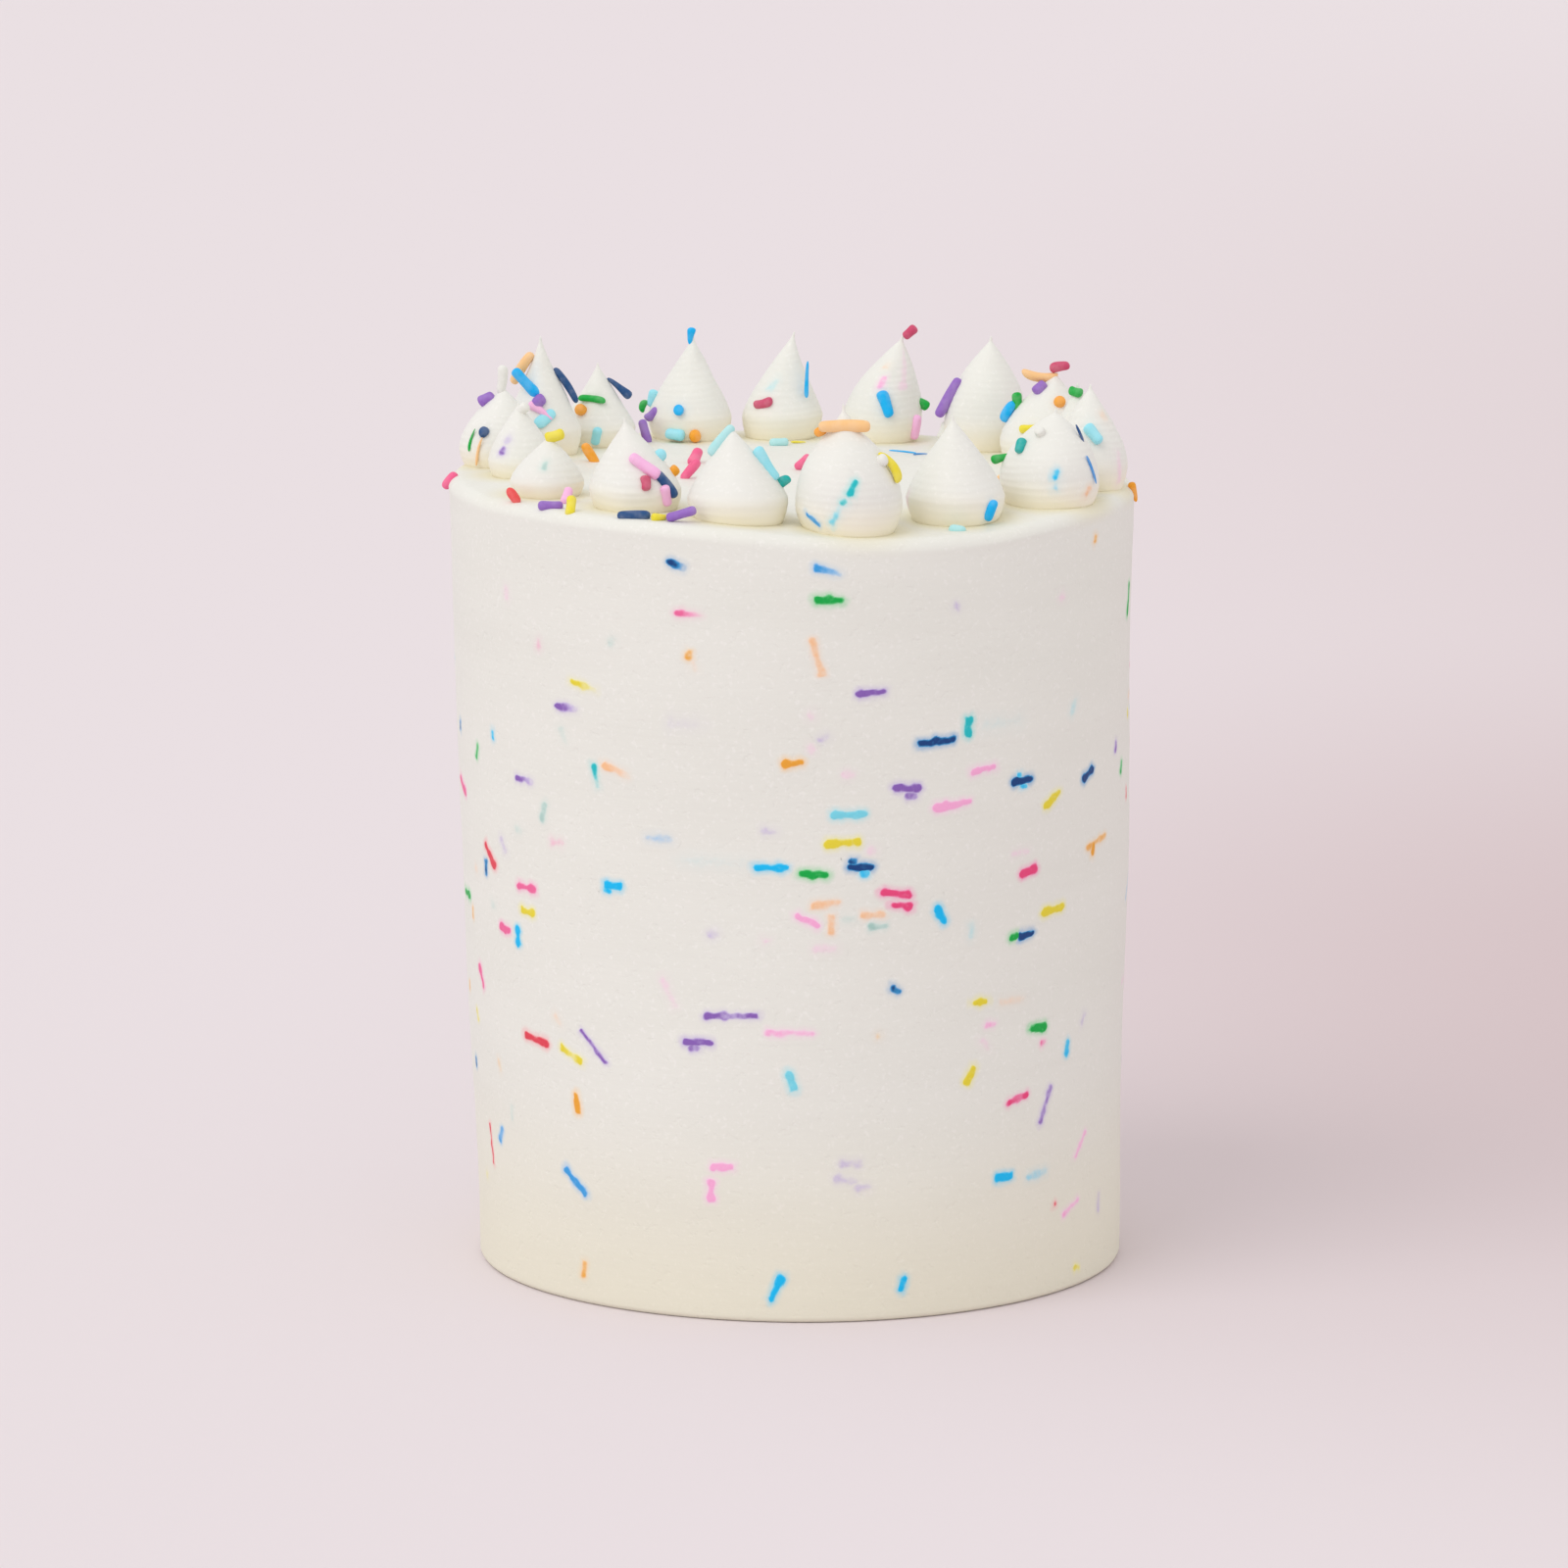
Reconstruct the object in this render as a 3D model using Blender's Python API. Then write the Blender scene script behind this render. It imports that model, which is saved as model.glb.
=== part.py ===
"""Celebration cake: a tall iced drum with a ring of piped kisses, scattered with sprinkles.

Metres, +Z up. The origin is the middle of the foot, under the middle of the top. The front
of the cake faces -Y. Angles round the cake start at the front and grow towards +X.
"""

import math
import random
from collections import namedtuple

import bmesh
import bpy
from mathutils import Matrix, Vector

MM = 0.001

# Iced drum: it flares a little upwards and leans a little to the left of the front view.
DRUM_HEIGHT = 197.5 * MM
FOOT_RADIUS = 81.0 * MM
TOP_RADIUS = 85.8 * MM
LEAN = 2.2 * MM
RIM_ROUNDING = 3.4 * MM
FOOT_ROUNDING = 1.6 * MM
SIDE_WAVE = 0.3 * MM
DRUM_SEGMENTS = 60
SIDE_BANDS = 7
ROUNDING_STEPS = 3
PLATE_RINGS = 6

# The top is not level: it drops in a shallow dip at the front right.
TOP_TILT = 1.0 * MM
DIP_DEPTH = 3.4 * MM
DIP_ANGLE = 22.0
DIP_WIDTH = 30.0
DIP_STARTS = 15.0 * MM

# Piped kisses
KISS_SEGMENTS = 16
KISS_RINGS = 8
KISS_GAP = 0.4 * MM
KISS_FOOT_SHARE = 0.87
KISS_WIDEST_AT = 0.2
KISS_WAVE = 0.02
KISS_TIP_RADIUS = 1.6 * MM
KISS_TIP_STARTS = 0.93
KISS_TIP_DRAWN_FROM = 0.82

# Sprinkles: short sugar rods
ROD_RADIUS = 1.25 * MM
ROD_SIDES = 6
SIDE_ROD_PROUD = 0.4 * MM
KISS_ROD_LIFT = 0.4 * MM

# One kiss: where its middle stands, its widest radius, its height, how round its body is
# (0 a cone, 1 a ball), how far its tip leans to the right and how much further it is drawn up.
# All in millimetres.
Kiss = namedtuple("Kiss", "across back radius height fullness lean tip", defaults=[0.0])
KISSES = [
    Kiss(13.8, -67.8, 13.2, 27.5, 1.0, -1.2, 2.8),
    Kiss(40.4, -51.5, 12.2, 24.9, 0.3, -1.1),
    Kiss(63.5, -33.5, 12.4, 22.8, 1.0, 1.6),
    Kiss(74.0, -11.5, 9.3, 25.5, 0.6, 0.3),
    Kiss(73.0, 11.8, 9.0, 22.5, 0.4, -1.2),
    Kiss(64.7, 35.0, 12.2, 22.5, 0.6, 2.5),
    Kiss(50.0, 55.0, 10.6, 28.4, 0.75, 1.2),
    Kiss(23.5, 68.0, 10.0, 26.6, 0.7, 5.5),
    Kiss(-2.5, 71.0, 10.2, 26.8, 0.1, 3.5),
    Kiss(-26.0, 67.0, 10.6, 26.3, 0.2, 1.0),
    Kiss(-49.0, 54.0, 9.5, 20.5, 0.1, -0.3),
    Kiss(-63.0, 36.5, 10.0, 29.5, -0.2, -0.4),
    Kiss(-73.5, 16.0, 10.0, 19.5, 0.8, 1.6),
    Kiss(-67.0, -3.0, 8.6, 18.0, 0.4, -0.9),
    Kiss(-60.0, -35.0, 9.2, 14.5, 0.45, 0.8),
    Kiss(-38.0, -53.5, 11.3, 21.6, 0.3, -2.6),
    Kiss(-12.8, -64.5, 12.1, 22.5, 0.3, -1.7),
]

# Sprinkles pressed into the side: angle round the cake, height (mm), tilt, length (mm).
SideRod = namedtuple("SideRod", "angle height tilt length")
FRONT_SIDE_RODS = [
    SideRod(6, 187, -15, 7.3), SideRod(6, 180, -3, 7.3), SideRod(-17, 176, -5, 5.9),
    SideRod(4, 166, -75, 10.0), SideRod(13, 157, 3, 7.5), SideRod(-37, 156, -12, 9.0),
    SideRod(-41, 150, 0, 7.5), SideRod(30, 147, 88, 5.4), SideRod(24, 144, 4, 10.5),
    SideRod(0, 140, 5, 5.6), SideRod(-31, 136, -18, 8.5), SideRod(33, 136, 5, 7.5),
    SideRod(19, 133, -5, 7.5), SideRod(41, 132, 0, 6.5), SideRod(-52, 130, 0, 7.5),
    SideRod(27, 128, 5, 10.5), SideRod(9, 127, 0, 8.8), SideRod(8, 120, 2, 9.0),
    SideRod(48, 126, 35, 6.0), SideRod(-4, 114, 0, 9.0), SideRod(11, 114, 0, 6.8),
    SideRod(-64, 108, -40, 8.0), SideRod(62, 112, 0, 10.0), SideRod(43, 109, 10, 6.0),
    SideRod(-32, 107, 0, 5.5), SideRod(17, 107, -10, 8.3), SideRod(-52, 103, 0, 7.5),
    SideRod(25, 101, -65, 5.0), SideRod(2, 101, -25, 6.6), SideRod(49, 98, 0, 6.5),
    SideRod(-55, 90, 88, 5.0), SideRod(43, 93, 0, 5.5), SideRod(-22, 82, -65, 9.3),
    SideRod(-70, 76, -65, 7.0), SideRod(-11, 77, 2, 10.5), SideRod(-1, 73, 0, 10.0),
    SideRod(-17, 70, 0, 7.5), SideRod(-37, 66, -43, 11.0), SideRod(-51, 65, -12, 10.0),
    SideRod(46, 69, 0, 6.5), SideRod(31, 60, 60, 5.5), SideRod(-1, 61, -75, 5.5),
    SideRod(41, 52, 15, 7.5), SideRod(-41, 51, -85, 5.6), SideRod(48, 49, 65, 10.5),
    SideRod(-13, 39, 5, 6.3), SideRod(59, 36, 45, 9.0), SideRod(-15, 33, 88, 6.0),
    SideRod(38, 33, 0, 6.0), SideRod(-42, 31, -40, 10.0), SideRod(-70, 33, -78, 11.0),
    SideRod(56, 21, 20, 8.5), SideRod(-4, 9, 65, 7.6), SideRod(18, 9, 75, 4.5),
]

# The sides and the back carry as many, spread evenly by rule.
OTHER_SIDE_RODS = 46
SIDE_SEED = 23
SIDE_ROD_CLEARANCE = 14.0 * MM

# Sprinkles on the top: across, back and height of the middle above the top (mm), turn about the
# vertical, rise of the far end, length (mm).
PlateRod = namedtuple("PlateRod", "across back lift turn rise length")
PLATE_RODS = [
    PlateRod(-68.3, -45.2, 1.2, 20, 0, 4.3), PlateRod(-58.5, -58.5, 0.8, 3, 0, 6.2),
    PlateRod(-53.5, -61.5, 0.8, 85, 0, 5.0), PlateRod(-54.8, -48.5, 1.8, 80, 40, 5.0),
    PlateRod(-38, -71.5, 0.8, 0, 0, 8.1), PlateRod(-31.5, -73, 0.8, 20, 0, 4.8),
    PlateRod(-26.5, -74.5, 2.0, 0, 17, 7.6), PlateRod(-50, 26, 2.0, 0, -60, 5.4),
    PlateRod(-37.3, 57, 2.7, 0, -75, 6.6), PlateRod(-24, 21, 0.8, 80, 0, 6.0),
    PlateRod(-24.5, -6, 1.6, 0, 40, 4.6), PlateRod(3, 12, 1.9, 0, 45, 5.0),
    PlateRod(-3, 54, 0.8, 20, 0, 5.0), PlateRod(52, -6, 0.8, 70, 0, 6.0),
    PlateRod(40.3, -66.5, 0.3, 0, 0, 4.2), PlateRod(-85.0, -3, -1.6, 180, -50, 5.0),
    PlateRod(85.4, -6, -2.0, 0, -75, 5.2), PlateRod(14, 8, 0.8, 75, 0, 8.0),
    PlateRod(-8, -18, 0.8, 10, 0, 9.0), PlateRod(22, -28, 0.8, -60, 0, 8.0),
    PlateRod(-38, -8, 0.8, -20, 0, 8.0), PlateRod(44, -12, 0.8, 35, 0, 7.0),
    PlateRod(40, 30, 0.8, -10, 0, 8.0), PlateRod(-45, -39, 0.8, 60, 0, 7.0),
]

# Sprinkles on the kisses, placed as seen from the front: which kiss, how far to the right of its
# middle and above its foot (mm), tilt to the right, length (mm).
KissRod = namedtuple("KissRod", "kiss across height tilt length")
FRONT_KISS_RODS = [
    KissRod(1, 0.3, 24.9, -3, 10.5), KissRod(1, 9.8, 15.2, -58, 8.8), KissRod(1, 8.0, 17.2, 30, 3.0),
    KissRod(2, 8.2, 1.9, 80, 5.6), KissRod(3, -7.2, 14.2, -65, 4.1), KissRod(3, -11.2, 10.7, 20, 6.5),
    KissRod(3, -2.4, 17.4, 0, 3.0), KissRod(4, 0.8, 13.9, -52, 5.8),
    KissRod(5, -1.6, 20.4, -25, 3.8), KissRod(6, -1.6, 21.7, -6, 9.3), KissRod(6, 3.4, 23.2, 12, 4.8),
    KissRod(6, -1.7, 18.2, 80, 3.9), KissRod(6, -7.3, 14.4, -80, 4.7), KissRod(6, -9.5, 11.8, 58, 6.0),
    KissRod(6, -4.6, 9.0, 5, 5.2), KissRod(6, 3.2, 15.1, 0, 3.2), KissRod(7, -10.0, 12.7, 64, 10.2),
    KissRod(7, -11.0, 4.0, 75, 4.5), KissRod(8, 7.2, 27.2, 40, 4.2), KissRod(8, 0.7, 10.0, -69, 7.2),
    KissRod(8, 10.4, 8.8, -40, 3.6), KissRod(8, 8.6, 3.4, 88, 6.6), KissRod(9, -4.6, 9.3, 0, 5.4),
    KissRod(10, 0.4, 25.8, 85, 4.6), KissRod(10, -2.6, 7.8, 0, 2.4), KissRod(10, -9.5, 9.7, 70, 4.6),
    KissRod(10, -9.7, 6.2, 35, 4.2), KissRod(10, -3.6, 1.3, 0, 5.2), KissRod(10, 1.5, 1.2, 0, 3.0),
    KissRod(11, -1.7, 11.6, -17, 7.4), KissRod(11, -4.4, 9.1, 0, 3.4), KissRod(11, 5.2, 14.0, 142, 7.8),
    KissRod(11, -0.4, 1.5, 82, 5.0), KissRod(12, -4.4, 18.5, -60, 7.4), KissRod(12, -5.0, 21.2, 57, 8.0),
    KissRod(12, 6.0, 16.8, -58, 10.6), KissRod(12, -0.7, 13.8, 38, 3.6), KissRod(12, -0.2, 11.3, -38, 7.4),
    KissRod(12, 0.9, 9.6, 45, 6.2), KissRod(13, 0.9, 21.0, 82, 7.2), KissRod(13, -2.9, 16.0, 33, 4.4),
    KissRod(13, -3.3, 8.8, 25, 2.8), KissRod(14, 0.3, 16.4, 0, 3.4), KissRod(15, 2.0, 14.2, 20, 4.9),
    KissRod(16, 2.5, 10.8, -42, 8.8), KissRod(16, 2.7, 7.0, 88, 3.8), KissRod(16, 7.7, 6.3, -50, 8.0),
    KissRod(16, 7.7, 3.7, -65, 5.5), KissRod(16, 6.2, 12.4, 0, 2.8), KissRod(16, 9.4, 8.4, 40, 3.0),
    KissRod(17, -4.1, 18.8, 52, 7.8), KissRod(17, 6.8, 13.2, -63, 7.3),
]

# The same for the sides of the kisses that face the back.
BACK_KISS_RODS = [
    KissRod(1, 5.0, 9.0, -20, 8.0), KissRod(2, 3.0, 9.0, 40, 7.0), KissRod(3, -4.0, 8.0, 70, 7.0),
    KissRod(4, -2.0, 9.0, 50, 7.5), KissRod(5, 2.0, 8.0, 40, 7.0), KissRod(6, -4.0, 9.0, -30, 8.0),
    KissRod(7, 3.0, 8.0, 20, 7.0), KissRod(8, -3.0, 10.0, 50, 8.0), KissRod(9, 1.0, 7.0, -45, 8.0),
    KissRod(10, 4.0, 9.0, 15, 8.0), KissRod(13, 0.0, 8.0, 60, 6.5), KissRod(15, 3.0, 6.0, 30, 6.5),
    KissRod(16, -3.0, 9.0, 30, 7.0), KissRod(17, 2.0, 8.0, -40, 7.0),
]

ICING_COLOUR = (0.80, 0.77, 0.70, 1.0)
KISS_COLOUR = (0.86, 0.84, 0.78, 1.0)


def clear_scene():
    for thing in list(bpy.data.objects):
        bpy.data.objects.remove(thing, do_unlink=True)


def icing(name, colour, roughness):
    material = bpy.data.materials.new(name)
    material.use_nodes = True
    shader = material.node_tree.nodes["Principled BSDF"]
    shader.inputs["Base Color"].default_value = colour
    shader.inputs["Roughness"].default_value = roughness
    shader.inputs["Metallic"].default_value = 0.0
    return material


def eased(share):
    share = min(max(share, 0.0), 1.0)
    return share * share * (3.0 - 2.0 * share)


def plate_level(x, y):
    """Height of the top at a point, with its tilt and its dip."""
    radius = math.hypot(x, y)
    angle = math.degrees(math.atan2(x, -y))
    off = (angle - DIP_ANGLE + 180.0) % 360.0 - 180.0
    dip = DIP_DEPTH * math.exp(-((off / DIP_WIDTH) ** 2))
    share = eased((radius - DIP_STARTS) / (TOP_RADIUS - DIP_STARTS))
    return DRUM_HEIGHT - TOP_TILT * x / TOP_RADIUS - dip * share


def side_radius(angle, height):
    """Radius of the side, with the faint waves that the scraper leaves."""
    share = height / DRUM_HEIGHT
    wave = math.sin(2 * angle + 9 * share) + 0.6 * math.sin(5 * angle - 14 * share + 1.0)
    return FOOT_RADIUS + (TOP_RADIUS - FOOT_RADIUS) * share + SIDE_WAVE * wave


def drum_middle(height):
    return LEAN * (1.0 - height / DRUM_HEIGHT)


def side_point(angle, height, inset=0.0):
    radius = side_radius(angle, height) - inset
    return Vector((drum_middle(height) + radius * math.sin(angle), -radius * math.cos(angle), height))


def ring_faces(bm, lower, upper):
    count = len(lower)
    for i in range(count):
        j = (i + 1) % count
        bm.faces.new((lower[i], lower[j], upper[j], upper[i]))


def fan(bm, ring, middle, upwards):
    count = len(ring)
    for i in range(count):
        j = (i + 1) % count
        corners = (ring[i], ring[j], middle) if upwards else (ring[j], ring[i], middle)
        bm.faces.new(corners)


def finished_object(bm, name, material):
    bmesh.ops.triangulate(bm, faces=[face for face in bm.faces if len(face.verts) > 4])
    bmesh.ops.recalc_face_normals(bm, faces=bm.faces)
    mesh = bpy.data.meshes.new(name)
    bm.to_mesh(mesh)
    bm.free()
    mesh.materials.append(material)
    thing = bpy.data.objects.new(name, mesh)
    bpy.context.scene.collection.objects.link(thing)
    return thing


def make_drum(material):
    """The drum, ring by ring from the foot up over the rim to the middle of the top."""
    bm = bmesh.new()
    angles = [2 * math.pi * i / DRUM_SEGMENTS for i in range(DRUM_SEGMENTS)]
    rings = []
    for step in range(ROUNDING_STEPS):
        bend = 0.5 * math.pi * step / ROUNDING_STEPS
        inset = FOOT_ROUNDING * (1.0 - math.sin(bend))
        height = FOOT_ROUNDING * (1.0 - math.cos(bend))
        rings.append([side_point(a, height, inset) for a in angles])
    for band in range(SIDE_BANDS + 1):
        ring = []
        for a in angles:
            edge = side_point(a, DRUM_HEIGHT)
            shoulder = plate_level(edge.x, edge.y) - RIM_ROUNDING
            height = FOOT_ROUNDING + (shoulder - FOOT_ROUNDING) * band / SIDE_BANDS
            ring.append(side_point(a, height))
        rings.append(ring)
    for step in range(1, ROUNDING_STEPS + 1):
        bend = 0.5 * math.pi * step / ROUNDING_STEPS
        ring = []
        for a in angles:
            point = side_point(a, DRUM_HEIGHT, RIM_ROUNDING * (1.0 - math.cos(bend)))
            level = plate_level(point.x, point.y)
            point.z = level - RIM_ROUNDING * (1.0 - math.sin(bend))
            ring.append(point)
        rings.append(ring)
    edge_radius = TOP_RADIUS - RIM_ROUNDING
    for step in range(1, PLATE_RINGS):
        radius = edge_radius * (1.0 - step / PLATE_RINGS)
        ring = []
        for a in angles:
            x = radius * math.sin(a)
            y = -radius * math.cos(a)
            ring.append(Vector((x, y, plate_level(x, y))))
        rings.append(ring)
    made = [[bm.verts.new(point) for point in ring] for ring in rings]
    for lower, upper in zip(made, made[1:]):
        ring_faces(bm, lower, upper)
    fan(bm, made[0], bm.verts.new((LEAN, 0.0, 0.0)), upwards=False)
    fan(bm, made[-1], bm.verts.new((0.0, 0.0, DRUM_HEIGHT)), upwards=True)
    return finished_object(bm, "iced_cake", material)


def kiss_radius(kiss, share):
    """Radius of a kiss at a share of its height: a swelling foot, a drawn-out neck, a small round tip."""
    radius = kiss.radius * MM
    if share < KISS_WIDEST_AT:
        swell = math.sin(0.5 * math.pi * share / KISS_WIDEST_AT)
        return radius * (KISS_FOOT_SHARE + (1.0 - KISS_FOOT_SHARE) * swell)
    above = min((share - KISS_WIDEST_AT) / (1.0 - KISS_WIDEST_AT), 1.0)
    drawn = min(above / KISS_TIP_STARTS, 1.0)
    body = 1.0 - drawn ** (1.15 + 0.5 * kiss.fullness + 0.7 * kiss.fullness ** 2)
    neck = (radius - KISS_TIP_RADIUS) * body ** (1.2 - 0.2 * kiss.fullness)
    return neck + KISS_TIP_RADIUS * math.sqrt(1.0 - above)


def kiss_point(kiss, around, share):
    """A point on the skin of a kiss, with its soft lobes and the lean of its tip."""
    lobes = math.sin(2 * around + kiss.across) + 0.7 * math.sin(3 * around + 5 * share + kiss.back)
    radius = kiss_radius(kiss, share) * (1.0 + KISS_WAVE * lobes)
    lean = kiss.lean * MM * share * share
    x = kiss.across * MM + lean + radius * math.sin(around)
    y = kiss.back * MM - radius * math.cos(around)
    foot = plate_level(kiss.across * MM, kiss.back * MM)
    drawn = eased((share - KISS_TIP_DRAWN_FROM) / (1.0 - KISS_TIP_DRAWN_FROM))
    rise = (kiss.height * share + kiss.tip * drawn) * MM
    settle = (1.0 - eased(share / KISS_WIDEST_AT)) * (plate_level(x, y) - foot)
    return Vector((x, y, foot + KISS_GAP + rise + settle))


def make_kiss(number, kiss, material):
    bm = bmesh.new()
    rings = []
    for step in range(KISS_RINGS):
        share = step / KISS_RINGS
        ring = []
        for i in range(KISS_SEGMENTS):
            around = 2 * math.pi * i / KISS_SEGMENTS
            ring.append(bm.verts.new(kiss_point(kiss, around, share)))
        rings.append(ring)
    for lower, upper in zip(rings, rings[1:]):
        ring_faces(bm, lower, upper)
    fan(bm, rings[-1], bm.verts.new(kiss_point(kiss, 0.0, 1.0)), upwards=True)
    x = kiss.across * MM
    y = kiss.back * MM
    fan(bm, rings[0], bm.verts.new((x, y, plate_level(x, y) + KISS_GAP)), upwards=False)
    return finished_object(bm, "kiss_%02d" % number, material)


def make_rod(place, along, outward, length):
    """A sprinkle as a six-sided rod with blunt ends, its length along the given direction."""
    along = along.normalized()
    side = outward.cross(along).normalized()
    up = along.cross(side).normalized()
    frame = Matrix((along, side, up)).transposed().to_4x4()
    frame.translation = place
    bm = bmesh.new()
    rings = []
    for end in (-1, 1):
        ring = []
        for i in range(ROD_SIDES):
            turn = 2 * math.pi * (i + 0.5) / ROD_SIDES
            local = Vector((end * (0.5 * length - 0.4 * ROD_RADIUS),
                            ROD_RADIUS * math.cos(turn), ROD_RADIUS * math.sin(turn)))
            ring.append(bm.verts.new(frame @ local))
        rings.append(ring)
    ring_faces(bm, rings[0], rings[1])
    fan(bm, rings[0], bm.verts.new(frame @ Vector((-0.5 * length, 0.0, 0.0))), upwards=False)
    fan(bm, rings[1], bm.verts.new(frame @ Vector((0.5 * length, 0.0, 0.0))), upwards=True)
    bmesh.ops.recalc_face_normals(bm, faces=bm.faces)
    mesh = bpy.data.meshes.new("rod")
    bm.to_mesh(mesh)
    bm.free()
    return bpy.data.objects.new("rod", mesh)


def side_rod(rod):
    angle = math.radians(rod.angle)
    tilt = math.radians(rod.tilt)
    outward = Vector((math.sin(angle), -math.cos(angle), 0.0))
    level = Vector((math.cos(angle), math.sin(angle), 0.0))
    along = level * math.cos(tilt) + Vector((0.0, 0.0, 1.0)) * math.sin(tilt)
    place = side_point(angle, rod.height * MM, ROD_RADIUS - SIDE_ROD_PROUD)
    return make_rod(place, along, outward, rod.length * MM)


def plate_rod(rod):
    turn = math.radians(rod.turn)
    rise = math.radians(rod.rise)
    x = rod.across * MM
    y = rod.back * MM
    along = Vector((math.cos(turn) * math.cos(rise), math.sin(turn) * math.cos(rise), math.sin(rise)))
    place = Vector((x, y, plate_level(x, y) + rod.lift * MM))
    return make_rod(place, along, Vector((0.0, 0.0, 1.0)), rod.length * MM)


def kiss_rod(rod, facing):
    """A sprinkle on the skin of a kiss, on its front (facing -1) or its back (facing 1).

    Near the outline it keeps its tilt as seen from the front, and elsewhere it lies on the skin.
    """
    kiss = KISSES[rod.kiss - 1]
    share = min(rod.height / kiss.height, 1.0)
    off = (rod.across - kiss.lean * share * share) * MM
    reach = kiss_radius(kiss, share) + KISS_ROD_LIFT
    away = math.sqrt(max(reach * reach - off * off, 0.0))
    tilt = math.radians(rod.tilt)
    along = Vector((math.cos(tilt), 0.0, math.sin(tilt)))
    outward = Vector((0.0, facing, 0.0))
    if away > 0.5 * reach:
        step = 0.03
        narrowing = kiss_radius(kiss, share - step) - kiss_radius(kiss, share + step)
        slope = narrowing / (2.0 * step * kiss.height * MM)
        outward = Vector((off / reach, facing * away / reach, slope)).normalized()
        along = (along - outward * along.dot(outward)).normalized()
    x = (kiss.across + rod.across) * MM
    y = kiss.back * MM + facing * away
    foot = plate_level(kiss.across * MM, kiss.back * MM) + KISS_GAP
    sunk = 0.5 * rod.length * MM * abs(along.z) + ROD_RADIUS * math.hypot(along.x, along.y)
    z = max(foot + rod.height * MM, plate_level(x, y) + KISS_GAP + sunk)
    return make_rod(Vector((x, y, z)), along, outward, rod.length * MM)


def other_side_rods():
    """Evenly spread sprinkles for the sides and the back, by a seeded rule."""
    draw = random.Random(SIDE_SEED)
    taken = [side_point(math.radians(rod.angle), rod.height * MM) for rod in FRONT_SIDE_RODS]
    rods = []
    while len(rods) < OTHER_SIDE_RODS:
        angle = draw.uniform(76.0, 284.0)
        height = 100.0 + 42.0 * draw.gauss(0.0, 1.0)
        tilt = draw.choice((0, 0, 0, 4, -6, 10, -20, 40, -45, 70, -75, 88))
        length = draw.uniform(5.5, 10.0)
        if not 12.0 < height < 186.0:
            continue
        spot = side_point(math.radians(angle), height * MM)
        if min((spot - other).length for other in taken) < SIDE_ROD_CLEARANCE:
            continue
        taken.append(spot)
        rods.append(SideRod(angle, height, tilt, length))
    return rods


def fuse(host, rods):
    """Join sprinkles to what they lie on with one Boolean union."""
    group = bpy.data.collections.new("sprinkles of " + host.name)
    bpy.context.scene.collection.children.link(group)
    for rod in rods:
        group.objects.link(rod)
    union = host.modifiers.new("sprinkles", "BOOLEAN")
    union.operation = "UNION"
    union.operand_type = "COLLECTION"
    union.collection = group
    union.solver = "EXACT"
    bpy.context.view_layer.update()
    evaluated = host.evaluated_get(bpy.context.evaluated_depsgraph_get())
    joined = bpy.data.meshes.new_from_object(evaluated)
    host.modifiers.clear()
    host.data = joined
    for rod in list(group.objects):
        bpy.data.objects.remove(rod, do_unlink=True)
    bpy.data.collections.remove(group)


def smooth(thing):
    thing.data.shade_smooth()
    thing.data.set_sharp_from_angle(angle=math.radians(40))


def main():
    clear_scene()
    drum = make_drum(icing("scraped buttercream", ICING_COLOUR, 0.55))
    side_rods = [side_rod(rod) for rod in FRONT_SIDE_RODS + other_side_rods()]
    top_rods = [plate_rod(rod) for rod in PLATE_RODS]
    fuse(drum, side_rods + top_rods)
    smooth(drum)
    for number, kiss in enumerate(KISSES, 1):
        material = icing("piped buttercream %02d" % number, KISS_COLOUR, 0.5)
        thing = make_kiss(number, kiss, material)
        front = [kiss_rod(rod, -1) for rod in FRONT_KISS_RODS if rod.kiss == number]
        back = [kiss_rod(rod, 1) for rod in BACK_KISS_RODS if rod.kiss == number]
        fuse(thing, front + back)
        smooth(thing)


main()
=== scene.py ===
# Celebration cake: scraped buttercream, piped kisses and sugar sprinkles.
# Sizes are in millimetres, as on the solids, and turn into metres when a mesh is made.

import math
import random
from collections import namedtuple

import bpy
import numpy as np
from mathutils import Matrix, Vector


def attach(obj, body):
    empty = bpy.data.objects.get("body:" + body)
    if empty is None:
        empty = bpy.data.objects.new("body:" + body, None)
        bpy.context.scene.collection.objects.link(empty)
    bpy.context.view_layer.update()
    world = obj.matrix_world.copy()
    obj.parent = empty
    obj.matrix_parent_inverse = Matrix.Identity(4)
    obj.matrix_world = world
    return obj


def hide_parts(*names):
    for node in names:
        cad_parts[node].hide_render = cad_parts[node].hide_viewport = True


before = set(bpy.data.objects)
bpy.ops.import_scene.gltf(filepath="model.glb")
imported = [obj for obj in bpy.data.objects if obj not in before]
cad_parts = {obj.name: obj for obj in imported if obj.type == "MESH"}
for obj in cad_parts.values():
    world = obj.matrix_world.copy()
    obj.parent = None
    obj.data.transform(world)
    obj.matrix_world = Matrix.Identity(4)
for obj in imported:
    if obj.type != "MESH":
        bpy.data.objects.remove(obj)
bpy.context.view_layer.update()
mm = 0.001


def placeObject(name, data):
    thing = bpy.data.objects.new(name, data)
    bpy.context.scene.collection.objects.link(thing)
    return thing


# Camera

cameraSetup = {
    "aimX": -1.7,
    "aimZ": 119.4,
    "away": 2217.0,
    "lookDown": 10.4,
    "lens": 202.5,
    "sensor": 36.0,
    "farthest": 100.0,
}


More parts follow.
